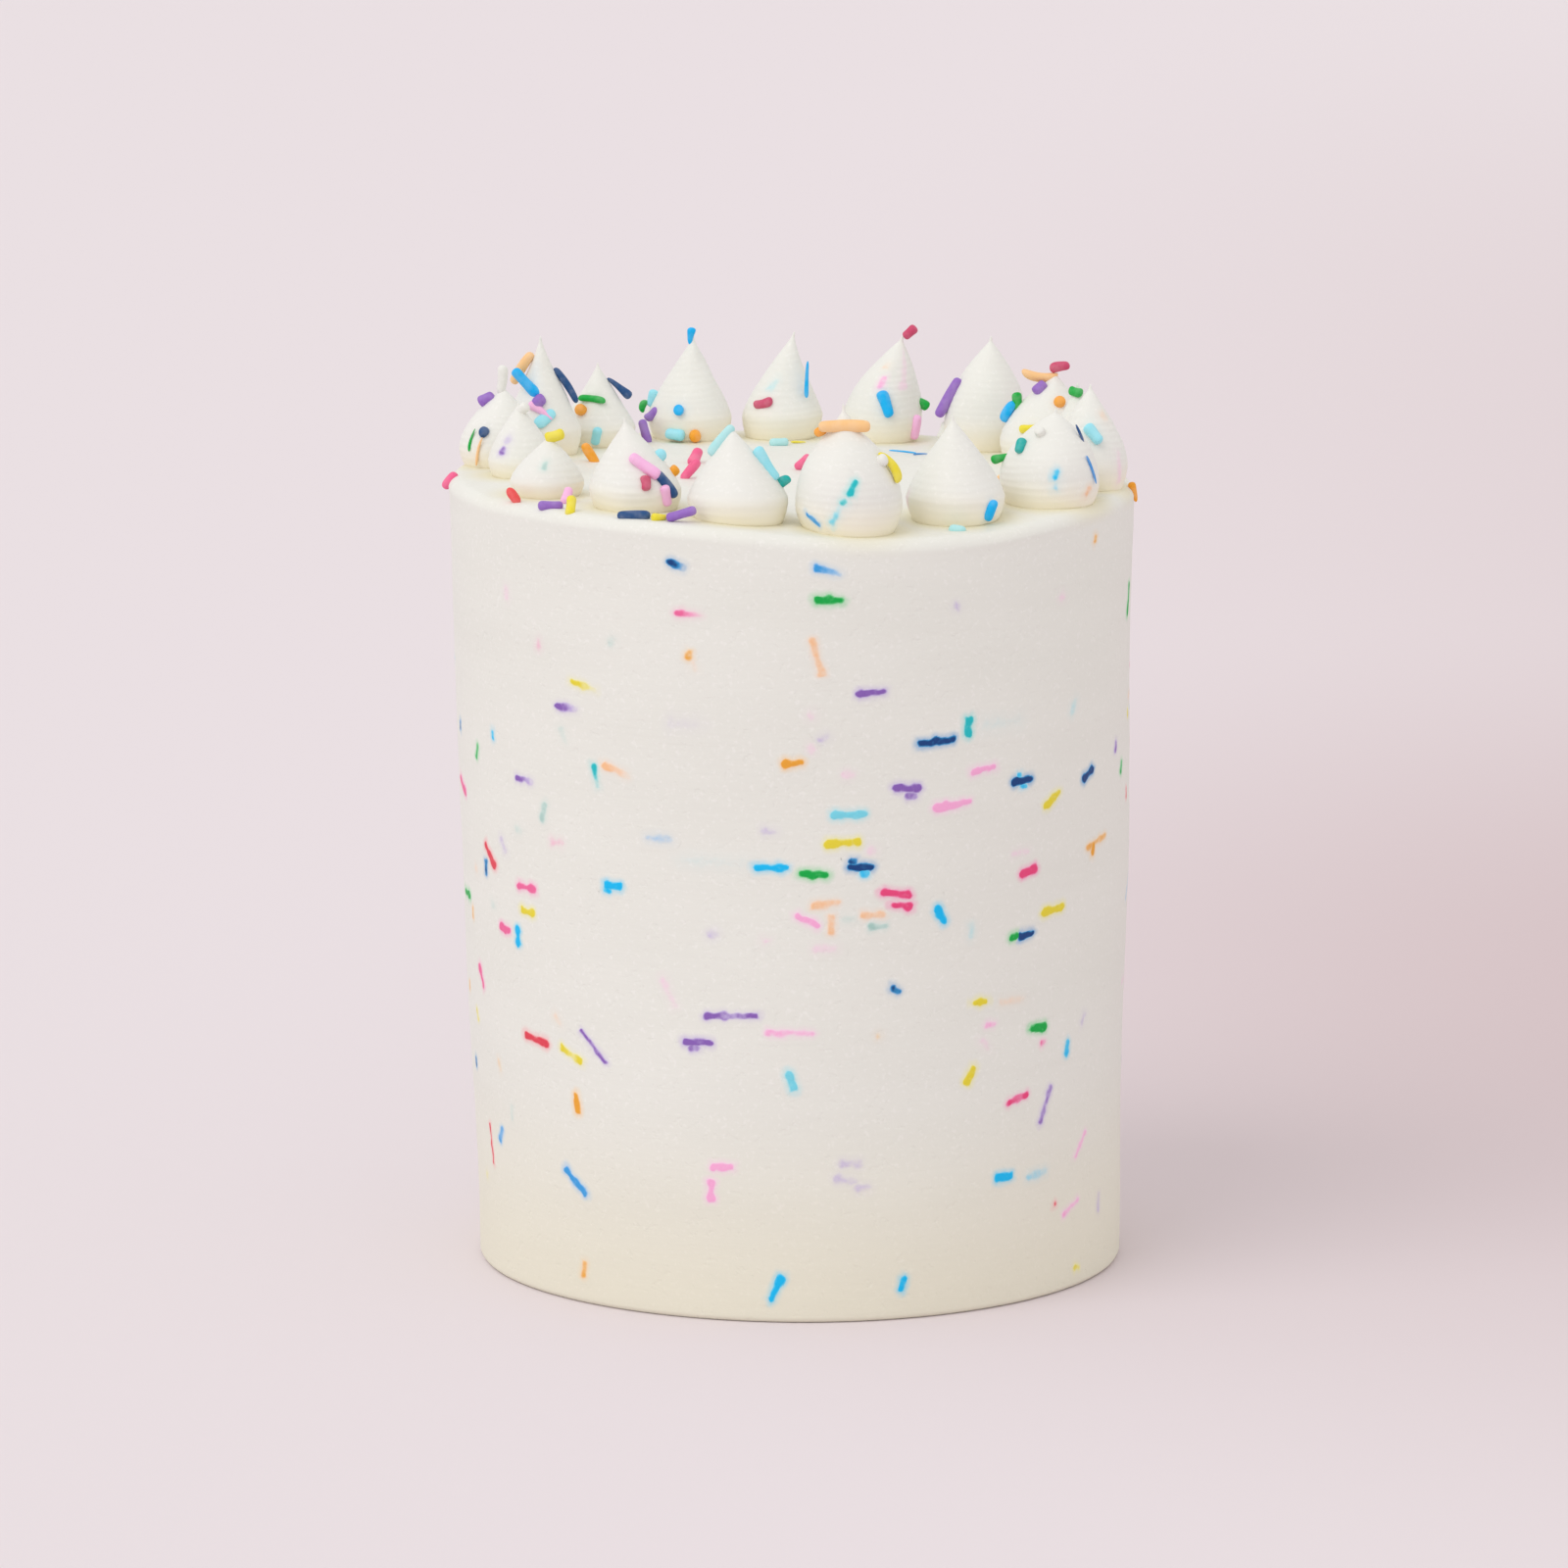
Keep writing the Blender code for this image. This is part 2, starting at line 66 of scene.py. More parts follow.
def makeCamera():
    tilt = math.radians(cameraSetup["lookDown"])
    data = bpy.data.cameras.new("camera")
    data.lens = cameraSetup["lens"]
    data.sensor_width = cameraSetup["sensor"]
    data.clip_end = cameraSetup["farthest"]
    camera = placeObject("camera", data)
    away = cameraSetup["away"]
    camera.location = (
        cameraSetup["aimX"] * mm,
        -away * math.cos(tilt) * mm,
        (cameraSetup["aimZ"] + away * math.sin(tilt)) * mm,
    )
    camera.rotation_euler = (math.pi / 2 - tilt, 0.0, 0.0)
    bpy.context.scene.camera = camera


makeCamera()
print("camera set")


# Colours, given as they look on a screen

def paint(red, green, blue):
    shades = []
    for value in (red, green, blue):
        value = value / 255.0
        shades.append(value / 12.92 if value <= 0.04045 else ((value + 0.055) / 1.055) ** 2.4)
    return (shades[0], shades[1], shades[2], 1.0)


# Each sprinkle colour: whole on the top, scraped flush in the side, and the bleed round it
sprinkleColours = {
    "bright_blue": (paint(0, 182, 250), paint(0, 190, 250), paint(110, 214, 248)),
    "mid_blue": (paint(70, 150, 222), paint(60, 160, 230), paint(150, 200, 242)),
    "navy": (paint(34, 80, 134), paint(8, 64, 128), paint(56, 156, 218)),
    "purple": (paint(152, 108, 198), paint(138, 98, 184), paint(200, 184, 228)),
    "light_pink": (paint(252, 188, 232), paint(252, 176, 220), paint(250, 214, 234)),
    "hot_pink": (paint(246, 102, 150), paint(242, 108, 160), paint(250, 178, 210)),
    "crimson": (paint(208, 74, 112), paint(238, 72, 128), paint(248, 160, 198)),
    "red": (paint(240, 84, 82), paint(228, 66, 84), paint(246, 172, 176)),
    "orange": (paint(250, 168, 44), paint(240, 166, 54), paint(248, 210, 160)),
    "peach": (paint(252, 202, 140), paint(250, 196, 148), paint(248, 220, 196)),
    "yellow": (paint(240, 224, 58), paint(234, 216, 58), paint(242, 236, 160)),
    "green": (paint(4, 174, 64), paint(0, 172, 70), paint(124, 216, 150)),
    "teal": (paint(0, 178, 172), paint(30, 192, 200), paint(142, 224, 226)),
    "cyan": (paint(156, 232, 246), paint(124, 218, 238), paint(180, 232, 240)),
    "mint": (paint(180, 234, 236), paint(170, 206, 198), paint(204, 226, 220)),
}


# Shader node groups

def newGroup(name, inputs, outputs):
    group = bpy.data.node_groups.new(name, "ShaderNodeTree")
    for direction, sockets in (("INPUT", inputs), ("OUTPUT", outputs)):
        for label, kind in sockets.items():
            group.interface.new_socket(label, in_out=direction, socket_type="NodeSocket" + kind)
    return group, group.nodes.new("NodeGroupInput"), group.nodes.new("NodeGroupOutput")


# A node whose inputs are each set to a value or linked to another node's output
def addNode(tree, kind, inputs, **settings):
    node = tree.nodes.new(kind)
    for key, value in settings.items():
        setattr(node, key, value)
    for label, value in inputs.items():
        if isinstance(value, bpy.types.NodeSocket):
            tree.links.new(value, node.inputs[label])
        else:
            node.inputs[label].default_value = value
    return node


def mathNode(tree, operation, *values):
    return addNode(tree, "ShaderNodeMath", dict(enumerate(values)), operation=operation).outputs[0]


def mixColours(tree, share, first, second):
    return addNode(tree, "ShaderNodeMix", {0: share, 6: first, 7: second}, data_type="RGBA").outputs[2]


def placed(tree, **mapping):
    mapping["Vector"] = addNode(tree, "ShaderNodeTexCoord", {}).outputs["Object"]
    return addNode(tree, "ShaderNodeMapping", mapping).outputs["Vector"]


def noiseNode(tree, vector, scale, detail=2.0):
    inputs = {"Vector": vector, "Scale": scale, "Detail": detail}
    return addNode(tree, "ShaderNodeTexNoise", inputs).outputs["Fac"]


def smoothRange(tree, value, low, high):
    inputs = {"Value": value, "From Min": low, "From Max": high}
    return addNode(tree, "ShaderNodeMapRange", inputs, interpolation_type="SMOOTHSTEP").outputs["Result"]


butterGrain = {
    "blotchScale": 16.0, "blotchRange": (0.3, 0.75), "blotchFlat": 4.5,
    "blotchTint": (0.94, 0.94, 0.93, 1.0),
    "speckScale": 900.0, "speckRange": (0.56, 0.78), "speckShare": 0.35,
    "speckColour": (0.97, 0.96, 0.93, 1.0),
    "roughScale": 60.0, "roughLeast": 0.42, "roughSpan": 0.2,
    "grainScale": 700.0, "grainShare": 0.35,
    "streakScale": 55.0, "streakFlat": 14.0, "streakShare": 0.6,
    "pitScale": 420.0, "pitRange": (0.30, 0.40),
}


# Buttercream: soft blotches, trowel streaks along the side, fine pits, a painted warm glow and shade round
# the feet of the kisses and a warmer tint near the foot of the cake
def makeButterSkin():
    group, given, made = newGroup(
        "butterSkin",
        {"Cream": "Color", "Warm": "Color", "Warmth": "Float", "Blotches": "Float", "Pits": "Float"},
        {"Color": "Color", "Roughness": "Float", "Height": "Float"},
    )
    look = butterGrain
    even = placed(group)
    flat = placed(group, Scale=(1.0, 1.0, look["blotchFlat"]))
    flatter = placed(group, Scale=(1.0, 1.0, look["streakFlat"]))
    blotch = smoothRange(group, noiseNode(group, flat, look["blotchScale"]), *look["blotchRange"])
    speck = smoothRange(group, noiseNode(group, even, look["speckScale"], 1.0), *look["speckRange"])
    darker = mixColours(group, 1.0, given.outputs["Cream"], look["blotchTint"])
    darker.node.blend_type = "MULTIPLY"
    blotchShare = mathNode(group, "MULTIPLY", blotch, given.outputs["Blotches"])
    cream = mixColours(group, blotchShare, given.outputs["Cream"], darker)
    speckShare = mathNode(group, "MULTIPLY", speck, look["speckShare"])
    cream = mixColours(group, speckShare, cream, look["speckColour"])
    cream = mixColours(group, given.outputs["Warmth"], cream, given.outputs["Warm"])
    group.links.new(cream, made.inputs["Color"])
    rough = noiseNode(group, flat, look["roughScale"])
    rough = mathNode(group, "MULTIPLY_ADD", rough, look["roughSpan"], look["roughLeast"])
    group.links.new(rough, made.inputs["Roughness"])
    grain = noiseNode(group, even, look["grainScale"], 3.0)
    streaks = noiseNode(group, flatter, look["streakScale"], 3.0)
    streaks = mathNode(group, "MULTIPLY", streaks, look["streakShare"])
    pits = smoothRange(group, noiseNode(group, even, look["pitScale"]), *look["pitRange"])
    pits = mathNode(group, "SUBTRACT", 1.0, pits)
    height = mathNode(group, "MULTIPLY_ADD", grain, look["grainShare"], streaks)
    height = mathNode(group, "SUBTRACT", height, mathNode(group, "MULTIPLY", pits, given.outputs["Pits"]))
    group.links.new(height, made.inputs["Height"])
    return group


bleedEdge = {"raggedScale": 1300.0, "ragged": 0.5, "bleedRange": (0.0, 0.5), "sugarRange": (0.32, 0.85)}


# Colour that bleeds from a scraped sprinkle: nothing, then the pale bleed, then the sprinkle itself
def makeSugarBleed():
    group, given, made = newGroup(
        "sugarBleed",
        {"Butter": "Color", "Bleed": "Color", "Sugar": "Color", "Dye": "Float"},
        {"Color": "Color"},
    )
    even = placed(group)
    dye = given.outputs["Dye"]
    ragged = mathNode(group, "SUBTRACT", noiseNode(group, even, bleedEdge["raggedScale"]), 0.5)
    ragged = mathNode(group, "MULTIPLY", ragged, dye)
    ragged = mathNode(group, "MULTIPLY_ADD", ragged, bleedEdge["ragged"], dye)
    colour = given.outputs["Butter"]
    for label, reach in (("Bleed", "bleedRange"), ("Sugar", "sugarRange")):
        share = smoothRange(group, ragged, *bleedEdge[reach])
        colour = mixColours(group, share, colour, given.outputs[label])
    group.links.new(colour, made.inputs["Color"])
    return group


sugarGrain = {
    "cloudScale": 380.0, "cloudRange": (0.35, 0.7), "cloudPale": 0.22,
    "grainScale": 1600.0, "roughLeast": 0.32, "roughSpan": 0.25,
}


# Pressed sugar: a slightly cloudy colour and a dry, faintly bumpy skin
def makeSugarSkin():
    group, given, made = newGroup(
        "sugarSkin",
        {"Sugar": "Color", "Cloud": "Float"},
        {"Color": "Color", "Roughness": "Float", "Height": "Float"},
    )
    look = sugarGrain
    even = placed(group)
    cloud = smoothRange(group, noiseNode(group, even, look["cloudScale"]), *look["cloudRange"])
    share = mathNode(group, "MULTIPLY", cloud, given.outputs["Cloud"])
    lighter = mixColours(group, look["cloudPale"], given.outputs["Sugar"], (1.0, 1.0, 1.0, 1.0))
    group.links.new(mixColours(group, share, given.outputs["Sugar"], lighter), made.inputs["Color"])
    grain = noiseNode(group, even, look["grainScale"], 3.0)
    rough = mathNode(group, "MULTIPLY_ADD", grain, look["roughSpan"], look["roughLeast"])
    group.links.new(rough, made.inputs["Roughness"])
    group.links.new(grain, made.inputs["Height"])
    return group


butterSkin = makeButterSkin()
sugarBleed = makeSugarBleed()
sugarSkin = makeSugarSkin()


# Materials

def newMaterial(name):
    material = bpy.data.materials.new(name)
    material.use_nodes = True
    tree = material.node_tree
    return material, tree, tree.nodes["Principled BSDF"]


# The group is set first, because it gives the node its inputs
def placeGroup(tree, group, **values):
    return addNode(tree, "ShaderNodeGroup", values, node_tree=group)


def readAttribute(tree, name):
    return addNode(tree, "ShaderNodeAttribute", {}, attribute_name=name).outputs["Fac"]


# Colour, roughness, gloss and bump, the same way for every material
def dressShader(tree, shader, colour, skin, depth):
    tree.links.new(colour, shader.inputs["Base Color"])
    tree.links.new(skin.outputs["Roughness"], shader.inputs["Roughness"])
    shader.inputs["Specular IOR Level"].default_value = satinGloss
    inputs = {"Strength": 1.0, "Distance": depth * mm, "Height": skin.outputs["Height"]}
    bump = addNode(tree, "ShaderNodeBump", inputs)
    tree.links.new(bump.outputs["Normal"], shader.inputs["Normal"])


# The warm colour is painted warm shade round the kiss feet on the top and a warmer tint near the cake's
# foot; on the kisses it is a painted glow that lightens their lower part
scrapedButter = {
    "Cream": paint(237, 237, 230),
    "Warm": paint(234, 228, 200),
    "Blotches": 0.35,
    "Pits": 0.5,
}
pipedButter = {
    "Cream": paint(238, 238, 232),
    "Warm": paint(250, 244, 225),
    "Blotches": 0.2,
    "Pits": 0.2,
}
bumpDepth = {"scraped": 0.10, "piped": 0.07, "sugar": 0.03}
satinGloss = 0.3
sugarCloud = 0.4


# Buttercream, stained by a sprinkle where one is given
def butterMaterial(name, finish, depth, colour=None):
    material, tree, shader = newMaterial(name)
    # Painted warm glow and shade, read from the mesh
    skin = placeGroup(tree, butterSkin, Warmth=readAttribute(tree, "glowAndFootWarmth"), **finish)
    shade = skin.outputs["Color"]
    if colour:
        whole, scraped, bleed = sprinkleColours[colour]
        dye = readAttribute(tree, "dye")
        stain = placeGroup(tree, sugarBleed, Butter=shade, Bleed=bleed, Sugar=scraped, Dye=dye)
        shade = stain.outputs["Color"]
    dressShader(tree, shader, shade, skin, depth)
    return material


def sugarMaterial(name, colour):
    material, tree, shader = newMaterial(name)
    skin = placeGroup(tree, sugarSkin, Sugar=sprinkleColours[colour][0], Cloud=sugarCloud)
    dressShader(tree, shader, skin.outputs["Color"], skin, bumpDepth["sugar"])
    return material


scrapedMaterial = butterMaterial("scraped buttercream", scrapedButter, bumpDepth["scraped"])
pipedMaterial = butterMaterial("piped buttercream", pipedButter, bumpDepth["piped"])
print("materials made")


# Meshes

def addPiece(name, points, faces, material, shades=None):
    mesh = bpy.data.meshes.new(name)
    mesh.from_pydata((np.asarray(points) * mm).tolist(), [], faces)
    mesh.materials.append(material)
    for label, values in (shades or {}).items():
        layer = mesh.attributes.new(label, "FLOAT", "POINT")
        layer.data.foreach_set("value", np.asarray(values, dtype=np.float32))
    mesh.shade_smooth()
    mesh.update()
    piece = placeObject(name, mesh)
    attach(piece, "root")
    return piece


# Faces of rings that close round themselves, from the first ring up, with a point at each end
def ringFaces(rings, around):
    faces = []
    for ring in range(rings - 1):
        start = ring * around
        for i in range(around):
            j = (i + 1) % around
            faces.append((start + i, start + j, start + around + j, start + around + i))
    bottom = rings * around
    top = bottom + 1
    last = (rings - 1) * around
    for i in range(around):
        j = (i + 1) % around
        faces.append((j, i, bottom))
        faces.append((last + i, last + j, top))
    return faces


# Meshes joined into one, from the points and faces of each
def joinMeshes(parts):
    faces = []
    start = 0
    for part in parts:
        faces += [tuple(corner + start for corner in face) for face in part[1]]
        start += len(part[0])
    return np.concatenate([part[0] for part in parts]), faces


def eased(share):
    share = np.clip(share, 0.0, 1.0)
    return share * share * (3.0 - 2.0 * share)


noiseCells = 64


# Smooth random bumps from -1 to 1, which repeat after so many cells along x
def softNoise(x, y, seed, cells=noiseCells):
    table = np.random.default_rng(seed).uniform(-1.0, 1.0, (cells, noiseCells))
    left = np.floor(x).astype(int)
    low = np.floor(y).astype(int)
    alongX = eased(x - left)
    alongY = eased(y - low)

    def row(level):
        level = level % noiseCells
        return table[left % cells, level] * (1 - alongX) + table[(left + 1) % cells, level] * alongX

    return row(low) * (1 - alongY) + row(low + 1) * alongY


# Iced drum: the form of the solid, with trowel marks and a fine rim

drum = {
    "height": 197.5,
    "footRadius": 81.0,
    "topRadius": 85.8,
    "lean": 2.2,
    "rimRounding": 3.4,
    "footRounding": 1.6,
    "sideWave": 0.3,
    "topTilt": 1.0,
    "dipDepth": 3.4,
    "dipAngle": 22.0,
    "dipWidth": 30.0,
    "dipStarts": 15.0,
    "segments": 360,
    "sideBands": 130,
    "roundingSteps": 9,
    "topRings": 46,
    "trowelDepth": 0.09,
    "smearDepth": 0.22,
    "rimLumps": 0.25,
    "rimLumpCount": 40,
    "rimFade": 12,
    # painted warm glow and shade on the top round the kiss feet, then a warmer tint near the foot of the
    # cake
    "glowOnTop": 0.85,
    "glowOnTopDepth": 5.0,
    "glowOnTopFade": 4.0,
    "warmFoot": 0.55,
    "warmFootHeight": 60.0,
}
# Marks of the trowel round the side: how many, how high each, seed, share
trowelNoise = [(9, 17.0, 3, 1.0), (24, 3.2, 4, 0.35), (60, 7.0, 5, 0.35)]


def plateLevel(x, y):
    radius = np.hypot(x, y)
    off = (np.degrees(np.arctan2(x, -y)) - drum["dipAngle"] + 180.0) % 360.0 - 180.0
    dip = drum["dipDepth"] * np.exp(-((off / drum["dipWidth"]) ** 2))
    share = eased((radius - drum["dipStarts"]) / (drum["topRadius"] - drum["dipStarts"]))
    return drum["height"] - drum["topTilt"] * x / drum["topRadius"] - dip * share


def sidePoint(angle, height, inset):
    share = height / drum["height"]
    wave = np.sin(2 * angle + 9 * share) + 0.6 * np.sin(5 * angle - 14 * share + 1.0)
    radius = drum["footRadius"] + (drum["topRadius"] - drum["footRadius"]) * share
    radius = radius + drum["sideWave"] * wave - inset
    x = drum["lean"] * (1.0 - share) + radius * np.sin(angle)
    return np.stack([x, -radius * np.cos(angle), height + 0 * angle], axis=-1)


# How far the trowel left the side proud
def trowelMarks(angle, height):
    turn = angle / (2 * math.pi)
    marks = 0.0
    for count, high, seed, share in trowelNoise:
        marks = marks + share * softNoise(turn * count, height / high, seed, count)
    return drum["trowelDepth"] * marks


# How far the spatula left the top proud
def smearMarks(x, y):
    streaks = softNoise(x / 16.0 + 40, (y + 0.4 * x) / 4.5 + 40, 6)
    lumps = softNoise(x / 9.0 + 40, y / 9.0 + 40, 7)
    return drum["smearDepth"] * (0.6 * streaks + 0.5 * lumps)


def drumSkin(angle, height):
    return sidePoint(angle, height, -trowelMarks(angle, height))


def turnsRound(count):
    return 2 * math.pi * np.arange(count) / count


def makeDrum():
    angles = turnsRound(drum["segments"])
    rings = []
    steps = drum["roundingSteps"]
    for step in range(steps):
        bend = 0.5 * math.pi * step / steps
        height = drum["footRounding"] * (1.0 - math.cos(bend)) + 0 * angles
        inset = drum["footRounding"] * (1.0 - math.sin(bend)) - trowelMarks(angles, height)
        rings.append(sidePoint(angles, height, inset))
    edge = sidePoint(angles, drum["height"] + 0 * angles, 0.0)
    shoulder = plateLevel(edge[:, 0], edge[:, 1]) - drum["rimRounding"]
    for band in range(drum["sideBands"] + 1):
        share = band / drum["sideBands"]
        rings.append(drumSkin(angles, drum["footRounding"] + (shoulder - drum["footRounding"]) * share))
    lumps = drum["rimLumpCount"]
    rimLumps = drum["rimLumps"] * softNoise(angles / (2 * math.pi) * lumps, 0 * angles, 8, lumps)
    for step in range(1, steps + 1):
        bend = 0.5 * math.pi * step / steps
        inset = drum["rimRounding"] * (1.0 - math.cos(bend))
        proud = trowelMarks(angles, shoulder) * math.cos(bend)
        ring = sidePoint(angles, drum["height"] + 0 * angles, inset - proud)
        level = plateLevel(ring[:, 0], ring[:, 1]) + rimLumps * math.sin(bend)
        ring[:, 2] = level - drum["rimRounding"] * (1.0 - math.sin(bend))
        rings.append(ring)
    rim = rings[-1]
    for step in range(1, drum["topRings"]):
        keep = 1.0 - step / drum["topRings"]
        x = rim[:, 0] * keep
        y = rim[:, 1] * keep
        nearRim = keep ** drum["rimFade"]
        lumps = rimLumps * nearRim + smearMarks(x, y) * (1.0 - nearRim)
        rings.append(np.stack([x, y, plateLevel(x, y) + lumps], axis=-1))
    points = np.concatenate(rings + [[[drum["lean"], 0.0, 0.0], [0.0, 0.0, drum["height"]]]])
    faces = ringFaces(len(rings), drum["segments"])
    # painted warm glow and shade round the kiss feet, and the warmer tint near the foot of the cake
    shades = {"glowAndFootWarmth": icingWarmth(points)}
    piece = addPiece("iced_drum", points, faces, scrapedMaterial, shades)
    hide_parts("iced_cake")


# Piped kisses: where each stands (across, back), its widest radius, its height, how round its
# body is (0 a cone, 1 a ball), how far its tip leans to the right and how much further it is drawn up

kissForm = namedtuple("kissForm", "across back radius height fullness lean tip", defaults=[0.0])
kissForms = [kissForm(*row) for row in (
    (13.8, -67.8, 13.2, 27.5, 1.0, -1.2, 2.8),
    (40.4, -51.5, 12.2, 24.9, 0.3, -1.1),
    (63.5, -33.5, 12.4, 22.8, 1.0, 1.6),
    (74.0, -11.5, 9.3, 25.5, 0.6, 0.3),
    (73.0, 11.8, 9.0, 22.5, 0.4, -1.2),
    (64.7, 35.0, 12.2, 22.5, 0.6, 2.5),
    (50.0, 55.0, 10.6, 28.4, 0.75, 1.2),
    (23.5, 68.0, 10.0, 26.6, 0.7, 5.5),
    (-2.5, 71.0, 10.2, 26.8, 0.1, 3.5),
    (-26.0, 67.0, 10.6, 26.3, 0.2, 1.0),
    (-49.0, 54.0, 9.5, 20.5, 0.1, -0.3),
    (-63.0, 36.5, 10.0, 29.5, -0.2, -0.4),
    (-73.5, 16.0, 10.0, 19.5, 0.8, 1.6),
    (-67.0, -3.0, 8.6, 18.0, 0.4, -0.9),
    (-60.0, -35.0, 9.2, 14.5, 0.45, 0.8),
    (-38.0, -53.5, 11.3, 21.6, 0.3, -2.6),
    (-12.8, -64.5, 12.1, 22.5, 0.3, -1.7),
)]
kissFinish = {
    "segments": 88,
    "rings": 72,
    "ringSpacing": 0.93,
    "gap": 0.4,
    "footSink": 0.55,
    "footShare": 0.87,
    "widestAt": 0.2,
    "tipRadius": 1.6,
    "tipStarts": 0.93,
    "drawnFrom": 0.82,
    "wave": 0.02,
    "ripple": 0.028,
    "rippleEvery": 1.6,
    "rippleDrift": 2.6,
    "lumps": 0.2,
    "plainBelow": 3.0,
    # painted warm glow over the lower part of each kiss and on the top round its foot
    "glowReach": 0.34,
    "glowOnPlate": 5.0,
}


# The outline of a kiss: it swells from its foot, then draws in by the same curve as the solid
def kissRadius(form, share):
    fullness = form.fullness
    widest = kissFinish["widestAt"]
    foot = kissFinish["footShare"]
    tip = kissFinish["tipRadius"]
    rounding = np.sin(0.5 * math.pi * np.clip(share / widest, 0.0, 1.0))
    swell = form.radius * (foot + (1.0 - foot) * rounding)
    above = np.clip((share - widest) / (1.0 - widest), 0.0, 1.0)
    drawn = np.clip(above / kissFinish["tipStarts"], 0.0, 1.0)
    body = 1.0 - drawn ** (1.15 + 0.5 * fullness + 0.7 * fullness ** 2)
    neck = (form.radius - tip) * body ** (1.2 - 0.2 * fullness) + tip * np.sqrt(1.0 - above)
    return np.where(share < widest, swell, neck)


def kissPoint(number, around, share):
    form = kissForms[number - 1]
    turn = around / (2 * math.pi)
    rise = share * form.height
    lobes = np.sin(2 * around + form.across) + 0.7 * np.sin(3 * around + 5 * share + form.back)
    radius = kissRadius(form, share) * (1.0 + kissFinish["wave"] * lobes)
    drift = softNoise(turn * 5, rise / 4.0, 60 + number, 5)
    swirl = 2 * math.pi * share * form.height / kissFinish["rippleEvery"] + 1.5 * np.sin(around + number)
    ripple = np.sin(swirl + kissFinish["rippleDrift"] * drift) * (1.0 + drift)
    lumps = softNoise(turn * 7, rise / 5.0, 30 + number, 7)
    fading = np.clip(radius / kissFinish["plainBelow"], 0.0, 1.0)
    radius = radius + fading * (kissFinish["ripple"] * ripple + kissFinish["lumps"] * lumps)
    x = form.across + form.lean * share * share + radius * np.sin(around)
    y = form.back - radius * np.cos(around)
    foot = plateLevel(form.across, form.back)
    settled = 1.0 - eased(share / kissFinish["widestAt"])
    settle = settled * (plateLevel(x, y) - foot - kissFinish["footSink"])
    start = kissFinish["drawnFrom"]
    drawn = form.tip * eased((share - start) / (1.0 - start))
    return np.stack([x, y, foot + kissFinish["gap"] + rise + settle + drawn], axis=-1)


# Painted warm glow and shade: 1 round the feet of the kisses on the top, fading out below the top's edge,
# with a milder warmer tint near the foot of the cake
def icingWarmth(points):
    low = drum["warmFoot"] * (1.0 - eased(points[:, 2] / drum["warmFootHeight"]))
    glowAndFootWarmth = np.zeros(len(points))
    for form in kissForms:
        away = np.hypot(points[:, 0] - form.across, points[:, 1] - form.back)
        away = np.maximum(away - form.radius * kissFinish["footShare"], 0.0)
        glowAndFootWarmth = np.maximum(glowAndFootWarmth, np.exp(-((away / kissFinish["glowOnPlate"]) ** 2)))
    above = points[:, 2] - plateLevel(points[:, 0], points[:, 1]) + drum["glowOnTopDepth"]
    return np.maximum(drum["glowOnTop"] * glowAndFootWarmth * eased(above / drum["glowOnTopFade"]), low)


def makeKiss(number):
    around = turnsRound(kissFinish["segments"])
    rings = []
    glowAndFootWarmth = []
    count = kissFinish["rings"]
    for step in range(count):
        share = (step / count) ** kissFinish["ringSpacing"]
        rings.append(kissPoint(number, around, share + 0 * around))
        # painted warm glow over the lower part of the kiss, fading out up its height
        glowAndFootWarmth += [1.0 - float(eased(share / kissFinish["glowReach"]))] * len(around)
    foot = kissPoint(number, around, 0 * around).mean(axis=0)
    tip = kissPoint(number, np.zeros(1), np.ones(1))[0]
    points = np.concatenate(rings + [[foot, tip]])
    faces = ringFaces(count, kissFinish["segments"])
    shades = {"glowAndFootWarmth": glowAndFootWarmth + [1.0, 0.0]}
    name = "piped_kiss_%02d" % number
    piece = addPiece(name, points, faces, pipedMaterial, shades)
    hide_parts("kiss_%02d" % number)


makeDrum()
print("iced drum made")
for kissNumber in range(1, len(kissForms) + 1):
    makeKiss(kissNumber)
print("kisses made:", len(kissForms))


# Sprinkles scraped flush in the side

